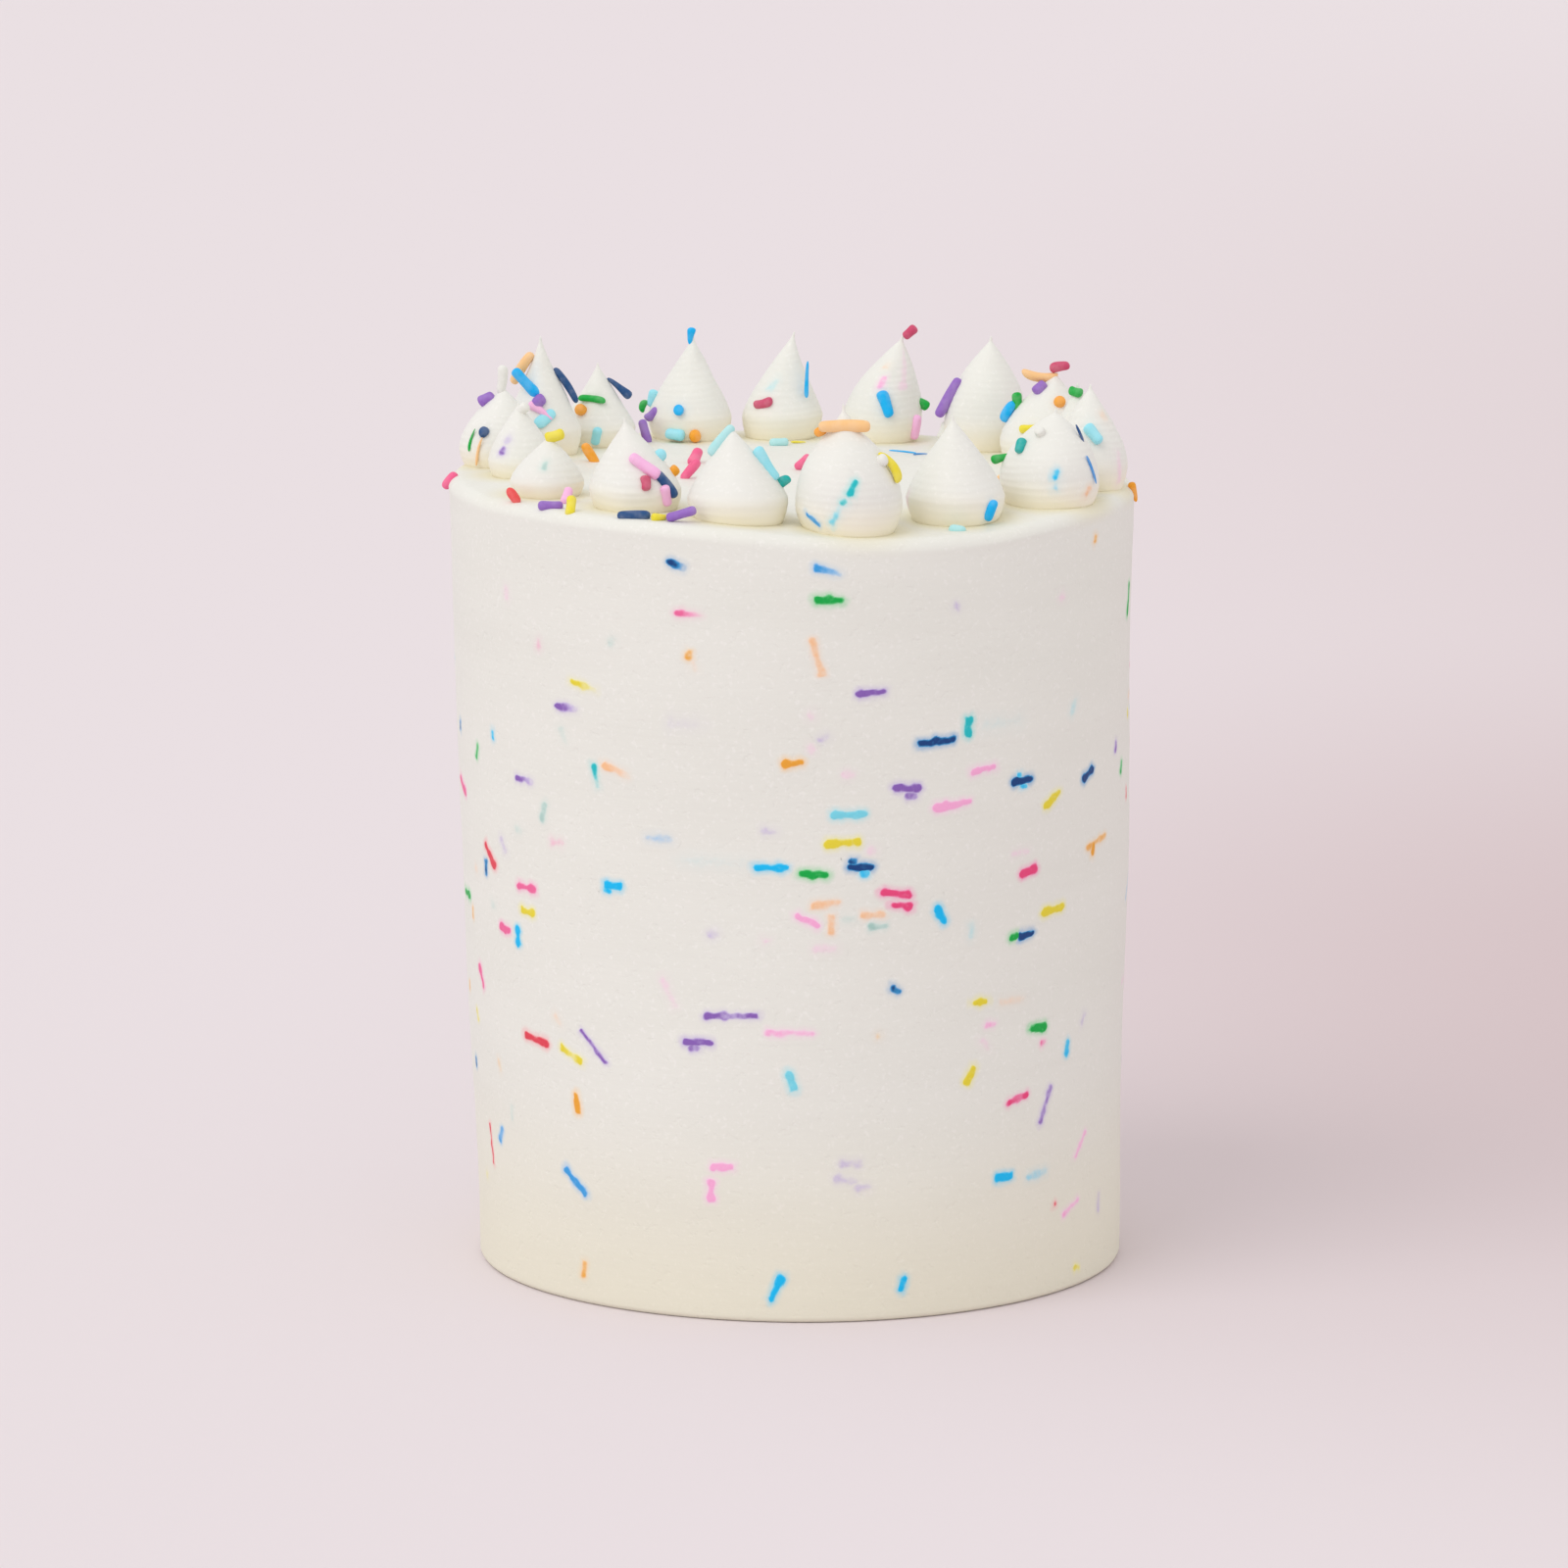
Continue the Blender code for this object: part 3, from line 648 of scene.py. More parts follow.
mark = namedtuple("mark", "angle height colour length tilt look", defaults=["firm"])
sideMarks = [mark(*row) for row in (
    (-19, 188, "navy", 4.8, -22, "tail"), (61, 188, "orange", 2.6, 70, "soft"),
    (6, 187, "mid_blue", 7.3, -15, "tail"), (6, 180, "green", 7.3, -3),
    (28, 177, "purple", 1.8, 30, "faint"), (-17, 176, "hot_pink", 7.0, -5, "tail"),
    (-55, 176, "light_pink", 4.4, 88, "faint"), (51, 176, "light_pink", 2.4, 80, "faint"),
    (-31, 168, "mint", 2.9, 60, "faint"), (4, 166, "peach", 10.0, -75, "soft"),
    (-47, 165, "hot_pink", 3.4, 88, "faint"), (-17, 166, "orange", 2.6, 85, "soft"),
    (-16.4, 163.6, "peach", 3.6, -60, "faint"), (13, 157, "purple", 7.5, 3),
    (-37, 156, "yellow", 9.0, -12, "tail"), (3, 152, "light_pink", 2.4, 88, "faint"),
    (-41, 150, "purple", 7.5, 0, "tail"), (-18, 149, "purple", 9.5, 0, "band"),
    (54, 148, "cyan", 5.0, 60, "faint"), (30, 147, "teal", 5.4, 88), (37, 147, "cyan", 13.0, 0, "band"),
    (5, 146, "purple", 3.4, 20, "faint"), (3, 144, "light_pink", 3.0, 88, "faint"),
    (24, 144, "navy", 10.5, 4), (-42, 143, "mint", 4.9, -60, "faint"), (0, 140, "orange", 5.6, 5),
    (81, 140, "yellow", 3.0, 80, "soft"), (-62, 139, "bright_blue", 3.0, 88, "soft"),
    (-80, 137, "navy", 3.0, 88, "soft"), (9, 137, "light_pink", 3.4, 0, "faint"),
    (-31, 136, "peach", 8.5, -18, "tail"), (33, 136, "light_pink", 7.5, 5),
    (-35, 134, "teal", 6.1, -80, "tail"), (71, 134, "purple", 3.0, 80, "soft"),
    (-69, 133, "green", 4.0, 70, "soft"), (19, 133, "purple", 7.5, -5),
    (19.8, 131.0, "purple", 3.4, 0, "soft"), (41, 132, "navy", 6.5, 0),
    (40.4, 133.4, "bright_blue", 2.2, 0, "soft"), (41.6, 130.6, "bright_blue", 2.2, 0, "soft"),
    (-52, 130, "purple", 7.5, 0, "tail"), (59, 130, "navy", 6.0, 20), (27, 128, "light_pink", 10.5, 5),
    (75, 128, "green", 4.0, 70, "soft"), (9, 127, "cyan", 8.8, 0), (48.5, 126, "yellow", 6.6, 30),
    (-47, 123, "mint", 5.4, 75, "soft"), (-4, 123, "purple", 3.9, 0, "faint"),
    (-23, 120, "mid_blue", 7.3, 0, "faint"), (80, 120, "red", 3.0, 88, "soft"), (8, 120, "yellow", 9.0, 2),
    (13, 118, "light_pink", 2.4, 0, "faint"), (-54, 117, "mint", 3.4, 0, "faint"),
    (-44, 116, "hot_pink", 4.8, 0, "faint"), (-13, 115, "cyan", 19.5, 0, "band"),
    (-4, 114, "bright_blue", 9.0, 0), (11, 114, "navy", 6.8, 0), (9.8, 115.4, "navy", 2.6, 0, "soft"),
    (11.6, 112.4, "bright_blue", 2.6, 0, "soft"), (41, 114, "light_pink", 6.1, 0, "faint"),
    (-59, 112, "purple", 5.4, -55, "faint"), (3, 112.4, "green", 7.8, -3),
    (63, 112, "orange", 12.0, 8, "soft"), (61.5, 110.4, "orange", 3.4, 80), (-64, 108, "red", 8.0, -40),
    (43, 109, "crimson", 6.0, 10), (-32, 107, "bright_blue", 5.5, 0),
    (-33.2, 106, "bright_blue", 2.2, 80, "soft"), (17, 107, "crimson", 8.3, -10),
    (18, 104, "crimson", 6.1, -10), (-66, 105, "navy", 4.0, 88, "soft"), (5, 105, "peach", 7.6, 8, "soft"),
    (-71, 103, "peach", 3.0, 0, "faint"), (-52, 103, "hot_pink", 7.5, 0),
    (13, 102, "peach", 6.3, 0, "soft"), (25, 101, "bright_blue", 5.0, -65),
    (2, 101, "light_pink", 6.6, -25), (9, 101, "mint", 2.9, 0, "faint"), (6, 100, "peach", 5.4, 88, "soft"),
    (14, 99, "mint", 4.9, 0, "soft"), (49.5, 98, "yellow", 8.4, 4), (-52, 97, "yellow", 6.0, -8),
    (-14, 97, "purple", 3.4, 20, "faint"), (-63, 96, "mint", 3.0, 0, "faint"),
    (-5, 96, "light_pink", 2.4, 0, "faint"), (31, 96, "cyan", 4.4, 88, "faint"),
    (5, 94, "light_pink", 6.6, 0, "faint"), (40, 93, "green", 3.0, 0), (43, 93, "navy", 5.5, 5),
    (-59, 91, "hot_pink", 5.0, 0), (-74, 91, "orange", 3.4, 88, "soft"), (-55, 90, "bright_blue", 5.0, 88),
    (17, 83, "navy", 3.4, -30, "soft"), (-22, 82, "light_pink", 9.3, -65, "faint"),
    (33, 78, "yellow", 5.0, 0), (40, 77, "peach", 8.5, 0, "faint"), (-11, 77, "purple", 14.0, 2, "ends"),
    (-70, 76, "hot_pink", 7.0, -65), (-1, 73, "light_pink", 12.2, 0, "soft"),
    (14, 72, "orange", 1.6, 60, "faint"), (35, 72, "light_pink", 3.9, 0, "soft"),
    (-80, 71, "orange", 3.0, 88, "soft"), (-17, 70, "purple", 7.5, 0),
    (-17.6, 68.6, "purple", 3.0, 0, "soft"), (-45, 71, "peach", 4.1, -45, "faint"),
    (46, 69, "green", 6.5, 0), (59, 68, "purple", 3.9, 60, "faint"),
    (34, 67, "light_pink", 4.4, -50, "faint"), (-37, 66, "purple", 11.0, -43, "thin"),
    (-74, 65, "yellow", 3.4, -65, "soft"), (-51, 65, "red", 10.0, -6), (47, 65, "hot_pink", 1.8, 0, "soft"),
    (-42, 63, "yellow", 8.5, -20, "ends"), (54, 62, "bright_blue", 4.4, 80, "soft"),
    (-1, 61, "cyan", 5.5, -75), (31, 60, "yellow", 5.5, 60), (-64, 55, "orange", 3.9, -65, "faint"),
    (-78, 52, "navy", 2.7, 88, "soft"), (41, 52, "crimson", 7.5, 12, "ends"), (-41, 51, "orange", 5.6, -85),
    (48, 49, "purple", 10.5, 65, "soft"), (-60, 44, "mint", 4.9, 88, "faint"),
    (9, 40, "purple", 6.0, 0, "faint"), (8, 36, "purple", 6.0, -10, "faint"),
    (11, 34, "purple", 4.0, 0, "faint"), (-13, 39, "light_pink", 6.3, 5),
    (-65, 37, "mid_blue", 4.5, 60, "soft"), (59, 36, "light_pink", 9.0, 45, "soft"),
    (-70, 33, "red", 11.0, -78, "thin"), (-15, 33, "light_pink", 6.0, 88), (38, 33, "bright_blue", 6.0, 0),
    (46, 32, "bright_blue", 8.0, 5, "faint"), (-42, 31, "mid_blue", 10.0, -40),
    (-74, 24, "yellow", 3.0, 0, "faint"), (51, 23, "red", 1.8, 0, "soft"),
    (56, 21, "light_pink", 8.5, 20, "soft"), (67, 19, "purple", 5.0, 80, "faint"),
    (-41, 9, "orange", 4.4, 75, "soft"), (-4, 9, "bright_blue", 7.6, 65), (18, 9, "bright_blue", 4.5, 75),
    (58, 5, "yellow", 2.4, 0, "soft"),
)]

# The look of a scraped sprinkle: how strong its core is, its half thickness, the blur of its
# edge, how far and how strongly its colour bleeds, and how much its middle or its end fades

markLook = namedtuple("markLook", "core half blur spread bleed middle tail")
markLooks = {
    "firm": markLook(1.0, 0.95, 0.42, 1.3, 0.26, 0.1, 0.1),
    "soft": markLook(0.72, 0.85, 0.6, 1.2, 0.2, 0.1, 0.2),
    "faint": markLook(0.3, 1.0, 1.0, 1.6, 0.1, 0.0, 0.3),
    "band": markLook(0.14, 1.5, 1.8, 2.2, 0.07, 0.0, 0.3),
    "ends": markLook(1.0, 0.9, 0.42, 1.2, 0.2, 0.45, 0.0),
    "tail": markLook(0.95, 0.85, 0.5, 1.3, 0.2, 0.0, 0.75),
    "thin": markLook(0.9, 0.6, 0.4, 1.1, 0.2, 0.15, 0.1),
}
# The patch that carries a mark, and how ragged and spotted the mark is: amount and size along it
markMesh = {
    "step": 0.305, "margin": 2.8, "bandWider": 1.6, "skin": 0.02, "proud": 0.16, "sunk": 0.05,
    "tuck": 1.0, "fade": 1.6, "depth": 0.7, "probe": 0.01, "leastGirth": 1.5, "kissTop": 0.999,
}
markRagged = {"along": (0.45, 1.3), "across": (0.32, 1.5), "half": (0.32, 2.1), "spots": (0.16, 0.8)}


# How strongly each point of a patch is dyed, from its place along and across the sprinkle
def markDye(along, across, length, look, seed):
    look = markLooks[look]

    def ragged(name, turn):
        amount, size = markRagged[name]
        return amount * softNoise(along / size + 20, across / size + 20, seed + turn)

    u = along + ragged("along", 0)
    v = across + ragged("across", 1)
    amount, size = markRagged["half"]
    half = look.half * (1.0 + amount * softNoise(along / size + 20, 0 * along, seed + 2))
    reach = max(0.5 * length - look.half, 0.05)
    away = np.hypot(np.maximum(np.abs(u) - reach, 0.0), v) - half
    core = eased(0.5 - away / (2.0 * look.blur))
    place = np.clip(u / reach, -1.0, 1.0)
    fade = 1.0 - look.middle * (1.0 - place ** 2) - look.tail * (0.5 + 0.5 * place)
    bleed = look.bleed * np.exp(-((np.maximum(away, 0.0) / look.spread) ** 2))
    return np.maximum(look.core * core * fade * (1.0 + ragged("spots", 3)), bleed * (0.4 + 0.6 * fade))


# A thin closed patch on a skin, proud where the sprinkle lies and sunk out of sight at its edge
def markPatch(skin, length, look, seed):
    margin = markMesh["margin"] * (markMesh["bandWider"] if look == "band" else 1.0)
    wide = 0.5 * length + margin
    high = markLooks[look].half + margin
    columns = int(2 * wide / markMesh["step"]) + 1
    rows = int(2 * high / markMesh["step"]) + 1
    along, across = np.meshgrid(np.linspace(-wide, wide, columns), np.linspace(-high, high, rows))
    edge = np.minimum(wide - np.abs(along), high - np.abs(across))
    inner = eased(edge / markMesh["tuck"])
    dye = markDye(along, across, length, look, seed) * eased(edge / markMesh["fade"])
    lift = markMesh["skin"] + markMesh["proud"] * dye
    lift = lift * inner - markMesh["sunk"] * (1.0 - inner)
    top = skin(along, across, lift)
    bottom = skin(along, across, 0 * lift - markMesh["depth"])
    corner = np.arange(rows * columns).reshape(rows, columns)
    quads = np.stack([corner[:-1, :-1], corner[:-1, 1:], corner[1:, 1:], corner[1:, :-1]], axis=-1)
    faces = quads.reshape(-1, 4).tolist()
    rim = np.concatenate([corner[0, :-1], corner[:-1, -1], corner[-1, :0:-1], corner[:0:-1, 0]])
    lowRim = bottom.reshape(-1, 3)[rim]
    base = rows * columns
    count = len(rim)
    for i in range(count):
        j = (i + 1) % count
        faces.append((int(rim[j]), int(rim[i]), base + i, base + j))
    faces.append(tuple(base + i for i in range(count - 1, -1, -1)))
    points = np.concatenate([top.reshape(-1, 3), lowRim])
    shades = np.concatenate([dye.reshape(-1), np.zeros(count)])
    return points, faces, shades


# The point at a place along and across from the middle of a mark, lifted off the skin
def skinAround(surface, a0, b0, perA, perB, tilt):
    cosine = math.cos(math.radians(tilt))
    sine = math.sin(math.radians(tilt))

    def skin(along, across, lift):
        a = a0 + (along * cosine - across * sine) / perA
        b = b0 + (along * sine + across * cosine) / perB
        point = surface(a, b)
        step = markMesh["probe"]
        outward = np.cross(surface(a + step, b) - point, surface(a, b + step * perA / perB) - point)
        outward = outward / np.linalg.norm(outward, axis=-1, keepdims=True)
        return point + outward * lift[..., None]

    return skin


def sideSkin(angle, height, tilt):
    girth = 0.5 * (drum["footRadius"] + drum["topRadius"])
    return skinAround(drumSkin, math.radians(angle), height, girth, 1.0, tilt)


shareStep = 0.03  # along the height of a kiss, to find its slope


def kissSkin(number, around, height, tilt):
    form = kissForms[number - 1]
    share = height / form.height

    # Below its foot the skin goes on straight down, out of sight in the icing
    def surface(a, b):
        point = kissPoint(number, a, np.clip(b, 0.0, markMesh["kissTop"]))
        point[..., 2] += form.height * np.minimum(b, 0.0)
        return point

    angle = math.radians(around)
    below, above = kissPoint(number, angle, np.array([share - shareStep, share + shareStep]))
    slope = float(np.linalg.norm(above - below)) / (2.0 * shareStep)
    girth = max(float(kissRadius(form, np.array(share))), markMesh["leastGirth"])
    return skinAround(surface, angle, share, girth, slope, tilt)


# Sprinkles in the side that the front doesn't show: as many, spread evenly, then some faint ones

otherSides = {
    "clearance": 14.0, "paleEdge": 9.0,
    "firm": {"count": 46, "seed": 23, "angles": (76.0, 284.0), "lengths": (5.5, 10.0)},
    "heights": {"middle": 100.0, "spread": 42.0, "lowest": 12.0, "highest": 186.0},
    "tilts": (0, 0, 0, 4, -6, 10, -20, 40, -45, 70, -75, 88),
    "looks": ("firm", "firm", "firm", "soft", "ends", "tail"),
    "faint": {"count": 60, "seed": 31, "angles": (84.0, 276.0), "lengths": (2.5, 8.0)},
    "faintClearance": 7.0, "faintHeights": (6.0, 188.0),
    "faintTilts": (0, 0, 5, -15, 60, -70, 88), "faintLooks": ("faint", "faint", "soft"),
}
frontNear = [(-64, 108), (62, 112), (-70, 76), (-70, 33)]  # the front's own sprinkles beside them


def sideSpot(angle, height):
    return sidePoint(np.array(math.radians(angle)), np.array(float(height)), 0.0)


def otherMarks():
    firm, faint, heights = otherSides["firm"], otherSides["faint"], otherSides["heights"]
    draw = random.Random(firm["seed"])
    pick = random.Random(faint["seed"])
    names = sorted(sprinkleColours)
    taken = [sideSpot(angle, height) for angle, height in frontNear]

    def free(angle, height, clearance):
        spot = sideSpot(angle, height)
        if min(np.linalg.norm(spot - other) for other in taken) < clearance:
            return False
        taken.append(spot)
        return True

    marks = []
    while len(marks) < firm["count"]:
        angle = draw.uniform(*firm["angles"])
        height = heights["middle"] + heights["spread"] * draw.gauss(0.0, 1.0)
        tilt = draw.choice(otherSides["tilts"])
        length = draw.uniform(*firm["lengths"])
        if not heights["lowest"] < height < heights["highest"]:
            continue
        if not free(angle, height, otherSides["clearance"]):
            continue
        look = pick.choice(otherSides["looks"])
        if min(abs(angle - 90.0), abs(angle - 270.0)) < otherSides["paleEdge"]:
            look = "faint"
        marks.append((angle, height, pick.choice(names), length, tilt, look))
    while len(marks) < firm["count"] + faint["count"]:
        angle = pick.uniform(*faint["angles"])
        height = pick.uniform(*otherSides["faintHeights"])
        tilt = pick.choice(otherSides["faintTilts"])
        length = pick.uniform(*faint["lengths"])
        if free(angle, height, otherSides["faintClearance"]):
            colour = pick.choice(names)
            marks.append((angle, height, colour, length, tilt, pick.choice(otherSides["faintLooks"])))
    return marks


# Stains in the kisses, from sprinkles just under their skin

kissMark = namedtuple("kissMark", "kiss around height colour length tilt look", defaults=["firm"])
kissMarks = [kissMark(*row) for row in (
    (1, 6, 11.5, "teal", 4.4, 62), (1, -5, 8.0, "teal", 2.2, 40, "soft"),
    (1, -15, 4.0, "cyan", 3.8, 55, "soft"), (1, -5, 7.8, "cyan", 12.0, 59, "faint"),
    (1, -42, 3.4, "mid_blue", 5.4, -30, "thin"), (3, 5, 8.2, "bright_blue", 3.0, 75, "soft"),
    (3, 6, 5.4, "bright_blue", 3.4, 80, "faint"), (3, 47, 3.6, "peach", 3.4, 60, "soft"),
    (8, 34, 18.0, "light_pink", 11.0, 84, "faint"), (8, -15, 15.0, "light_pink", 4.0, 80, "soft"),
    (8, -20, 19.0, "peach", 2.4, 80, "faint"), (9, -25, 14.0, "cyan", 4.4, 70, "faint"),
    (14, -37, 6.5, "purple", 2.0, 80, "soft"), (14, -28, 9.5, "purple", 3.6, 70, "faint"),
    (15, -5, 7.6, "mint", 2.8, 85, "soft"), (4, 48, 17.5, "peach", 3.2, -60, "faint"),
    (4, 55, 5.6, "light_pink", 8.4, 88, "faint"), (2, -75, 5.0, "light_pink", 4.5, 80, "faint"),
)]


markSeeds = {"side": 100, "kiss": 900, "every": 5}


def makeMarks():
    byColour = {name: [] for name in sprinkleColours}
    marks = sideMarks + otherMarks()
    for index, (angle, height, colour, length, tilt, look) in enumerate(marks):
        seed = markSeeds["side"] + markSeeds["every"] * index
        byColour[colour].append(markPatch(sideSkin(angle, height, tilt), length, look, seed))
    for colour, patches in byColour.items():
        material = butterMaterial("scraped " + colour, scrapedButter, bumpDepth["scraped"], colour)
        points, faces = joinMeshes(patches)
        # the icing's painted warm glow and shade, and its warmer tint near the foot, go on the patches too
        shades = {"dye": np.concatenate([patch[2] for patch in patches]), "glowAndFootWarmth": icingWarmth(points)}
        addPiece("scraped_sprinkles_" + colour, points, faces, material, shades)
    return len(marks)


def makeKissMarks():
    for index, (number, around, height, colour, length, tilt, look) in enumerate(kissMarks, 1):
        seed = markSeeds["kiss"] + markSeeds["every"] * index
        points, faces, dye = markPatch(kissSkin(number, around, height, tilt), length, look, seed)
        material = butterMaterial("sunk %s %d" % (colour, index), pipedButter, bumpDepth["piped"], colour)
        form = kissForms[number - 1]
        rise = points[:, 2] - plateLevel(form.across, form.back)
        # the same painted warm glow as on the kiss under the stain
        shades = {"dye": dye, "glowAndFootWarmth": 1.0 - eased(rise / (form.height * kissFinish["glowReach"]))}
        name = "sunk_sprinkle_%02d_%s" % (index, colour)
        addPiece(name, points, faces, material, shades)
    return len(kissMarks)


print("scraped sprinkles made:", makeMarks())
print("sunk sprinkles made:", makeKissMarks())


# Whole sprinkles on the top, the lift being their middle above it, and the rise that of the far end

plateSprinkle = namedtuple(
    "plateSprinkle", "x y lift turn rise length colour shape", defaults=["plain"]
)
plateSprinkles = [plateSprinkle(*row) for row in (
    (-67.8, -48.0, 1.5, 150, 50, 4.8, "red", "stub"), (-58.5, -58.5, 0.8, 3, 0, 6.2, "purple"),
    (-53.5, -63.0, 1.5, 85, 50, 5.6, "yellow"), (-54.8, -48.5, 1.8, 80, 40, 5.0, "light_pink"),
    (-38, -71.5, 0.8, 0, 0, 8.1, "navy"), (-31.5, -73, 0.8, 20, 0, 4.8, "yellow", "wedge"),
    (-26.5, -74.5, 2.0, 0, 17, 7.6, "purple"), (-50.5, 21, 1.9, 0, -58, 6.6, "orange"),
    (-37.3, 57, 2.7, 0, -75, 6.6, "purple"), (-24, 21, 1.5, 70, 40, 5.4, "hot_pink", "thick"),
    (-25, -6, 2.2, 10, 48, 6.6, "hot_pink"), (3, 12, 1.9, 0, 45, 5.0, "hot_pink"),
    (-3, 54, 0.8, 20, 0, 5.0, "mint"), (52, -6, 0.8, 70, 0, 6.0, "peach"),
    (40.3, -66.5, 0.3, 0, 0, 4.2, "mint", "stub"), (-85.0, -3, -1.6, 180, -50, 5.0, "hot_pink"),
    (85.4, -6, -2.0, 0, -75, 5.2, "orange", "wedge"), (14, 8, 0.8, 75, 0, 8.0, "bright_blue"),
    (-8, -18, 0.8, 10, 0, 9.0, "green"), (22, -28, 0.8, -60, 0, 8.0, "purple"),
    (-38, -8, 0.8, -20, 0, 8.0, "orange"), (44, -12, 0.8, 35, 0, 7.0, "cyan"),
    (40, 30, 0.8, -10, 0, 8.0, "crimson"), (-45, -39, 0.8, 60, 0, 7.0, "orange"),
    (2, 57, 0.5, 0, 0, 4.0, "yellow", "thin"), (28.5, 44, 0.2, -35, 0, 8.5, "bright_blue", "hair"),
    (33, 40, 0.2, 20, 0, 4.0, "mid_blue", "hair"),
)]

# Whole sprinkles on the kisses, as seen from the front: how far to the right of the middle of the
# kiss and above its foot, and how far they tilt to the right

kissSprinkle = namedtuple(
    "kissSprinkle", "kiss across height tilt length colour shape", defaults=["plain"]
)
kissSprinkles = [kissSprinkle(*row) for row in (
    (1, -0.9, 24.9, 1, 12.6, "peach", "thick"), (1, -6.6, 23.4, 20, 3.4, "orange", "stub"),
    (1, 9.8, 15.2, 122, 8.8, "yellow", "hook"), (1, 8.0, 17.2, 30, 3.0, "coated", "dot"),
    (2, 8.2, 1.9, 80, 5.6, "bright_blue"), (3, -7.2, 14.2, -65, 4.1, "teal"),
    (3, -11.2, 10.7, 20, 6.5, "green", "wedge"), (3, -2.4, 17.4, 0, 3.0, "coated", "dot"),
    (3, 7.4, 16.4, -72, 6.0, "navy", "thin"), (3, 10.1, 8.5, -70, 7.5, "mid_blue", "thin"),
    (4, 0.8, 13.9, -52, 5.8, "cyan", "thick"), (5, -1.6, 20.4, -25, 3.8, "green"),
    (6, -1.6, 21.7, -6, 9.3, "peach", "sag"), (6, 3.4, 23.2, 12, 5.2, "crimson"),
    (6, -1.7, 18.2, 80, 3.9, "purple", "thick"), (6, -7.3, 14.4, -80, 4.7, "green"),
    (6, -9.5, 11.8, 58, 6.0, "bright_blue"), (6, -4.6, 9.0, 5, 5.2, "yellow", "wedge"),
    (6, 3.2, 15.1, 0, 3.2, "orange", "dot"), (7, -9.7, 12.7, 60, 11.4, "purple", "proud"),
    (7, -11.0, 4.0, 75, 4.5, "coated"), (8, 7.2, 27.2, 40, 4.2, "crimson"),
    (8, 0.7, 10.0, -69, 7.2, "bright_blue", "thick"), (8, 10.4, 8.8, -40, 3.6, "green"),
    (8, 8.6, 3.4, 88, 6.6, "light_pink"), (9, -4.6, 9.3, 0, 5.4, "crimson"),
    (9, 6.8, 15.2, 88, 9.6, "bright_blue", "blade"), (10, 0.4, 25.8, -95, 4.6, "bright_blue", "wedge"),
    (10, -2.6, 7.8, 0, 2.4, "bright_blue", "dot"), (10, -9.5, 9.7, 70, 4.6, "cyan"),
    (10, -9.7, 6.2, 35, 4.2, "purple"), (10, -3.6, 1.3, 0, 5.2, "cyan", "thick"),
    (10, 1.5, 1.2, 0, 3.0, "orange", "dot"), (10, -11.6, 7.6, 60, 3.4, "green", "slim"),
    (11, -1.7, 11.6, -17, 7.4, "green", "slim"), (11, -4.4, 9.1, 0, 3.4, "orange", "dot"),
    (11, 5.2, 14.0, 142, 7.8, "navy", "wedge"), (11, -0.4, 1.5, 82, 5.0, "cyan"),
    (12, -4.0, 18.0, -48, 9.4, "bright_blue", "proud"), (12, -5.0, 21.2, 57, 9.4, "peach"),
    (12, 6.0, 16.8, -58, 10.6, "navy", "slim"), (12, -0.7, 13.8, 38, 3.6, "purple", "thick"),
    (12, -0.2, 11.3, -38, 7.4, "light_pink", "wedge"), (12, 0.9, 9.6, 45, 6.2, "cyan", "flat"),
    (13, 0.9, 21.0, 82, 7.2, "coated"), (13, -2.9, 16.0, 33, 4.4, "purple", "thick"),
    (13, -3.3, 8.8, 25, 2.8, "navy", "stub"), (13, -6.4, 6.7, 84, 6.0, "green", "thin"),
    (13, -4.5, 4.0, 74, 7.6, "peach", "thin"), (14, 0.3, 16.4, 0, 3.4, "coated", "dot"),
    (15, 2.0, 14.2, 20, 4.9, "yellow", "thick"), (16, 2.5, 10.8, -42, 8.8, "light_pink", "thick"),
    (16, 2.7, 7.0, 88, 3.8, "crimson"), (16, 7.7, 6.3, -50, 8.0, "navy"),
    (16, 7.7, 3.7, -65, 5.5, "light_pink"), (16, 6.2, 12.4, 0, 2.8, "cyan", "dot"),
    (16, 9.4, 8.4, 40, 3.0, "orange"), (17, -4.1, 18.6, 53, 9.2, "mint"),
    (17, 6.9, 13.2, -56, 9.4, "cyan", "proud"), (17, 10.6, 8.2, 35, 4.8, "teal"),
)]

# The same for the sides of the kisses that face the back

backSprinkles = [kissSprinkle(*row) for row in (
    (1, 5.0, 9.0, -20, 8.0, "cyan"), (2, 3.0, 9.0, 40, 7.0, "crimson"), (3, -4.0, 8.0, 70, 7.0, "hot_pink"),
    (4, -2.0, 9.0, 50, 7.5, "yellow"), (5, 2.0, 8.0, 40, 7.0, "orange"),
    (6, -4.0, 9.0, -30, 8.0, "light_pink"), (7, 3.0, 8.0, 20, 7.0, "cyan"),
    (8, -3.0, 10.0, 50, 8.0, "orange"), (9, 1.0, 7.0, -45, 8.0, "green"), (10, 4.0, 9.0, 15, 8.0, "purple"),
    (13, 0.0, 8.0, 60, 6.5, "bright_blue"), (15, 3.0, 6.0, 30, 6.5, "mint"),
    (16, -3.0, 9.0, 30, 7.0, "yellow"), (17, 2.0, 8.0, -40, 7.0, "navy"),
)]

# The shape of a whole sprinkle: its thickness, what is left of it at the far end, its bend and
# how blunt its ends are

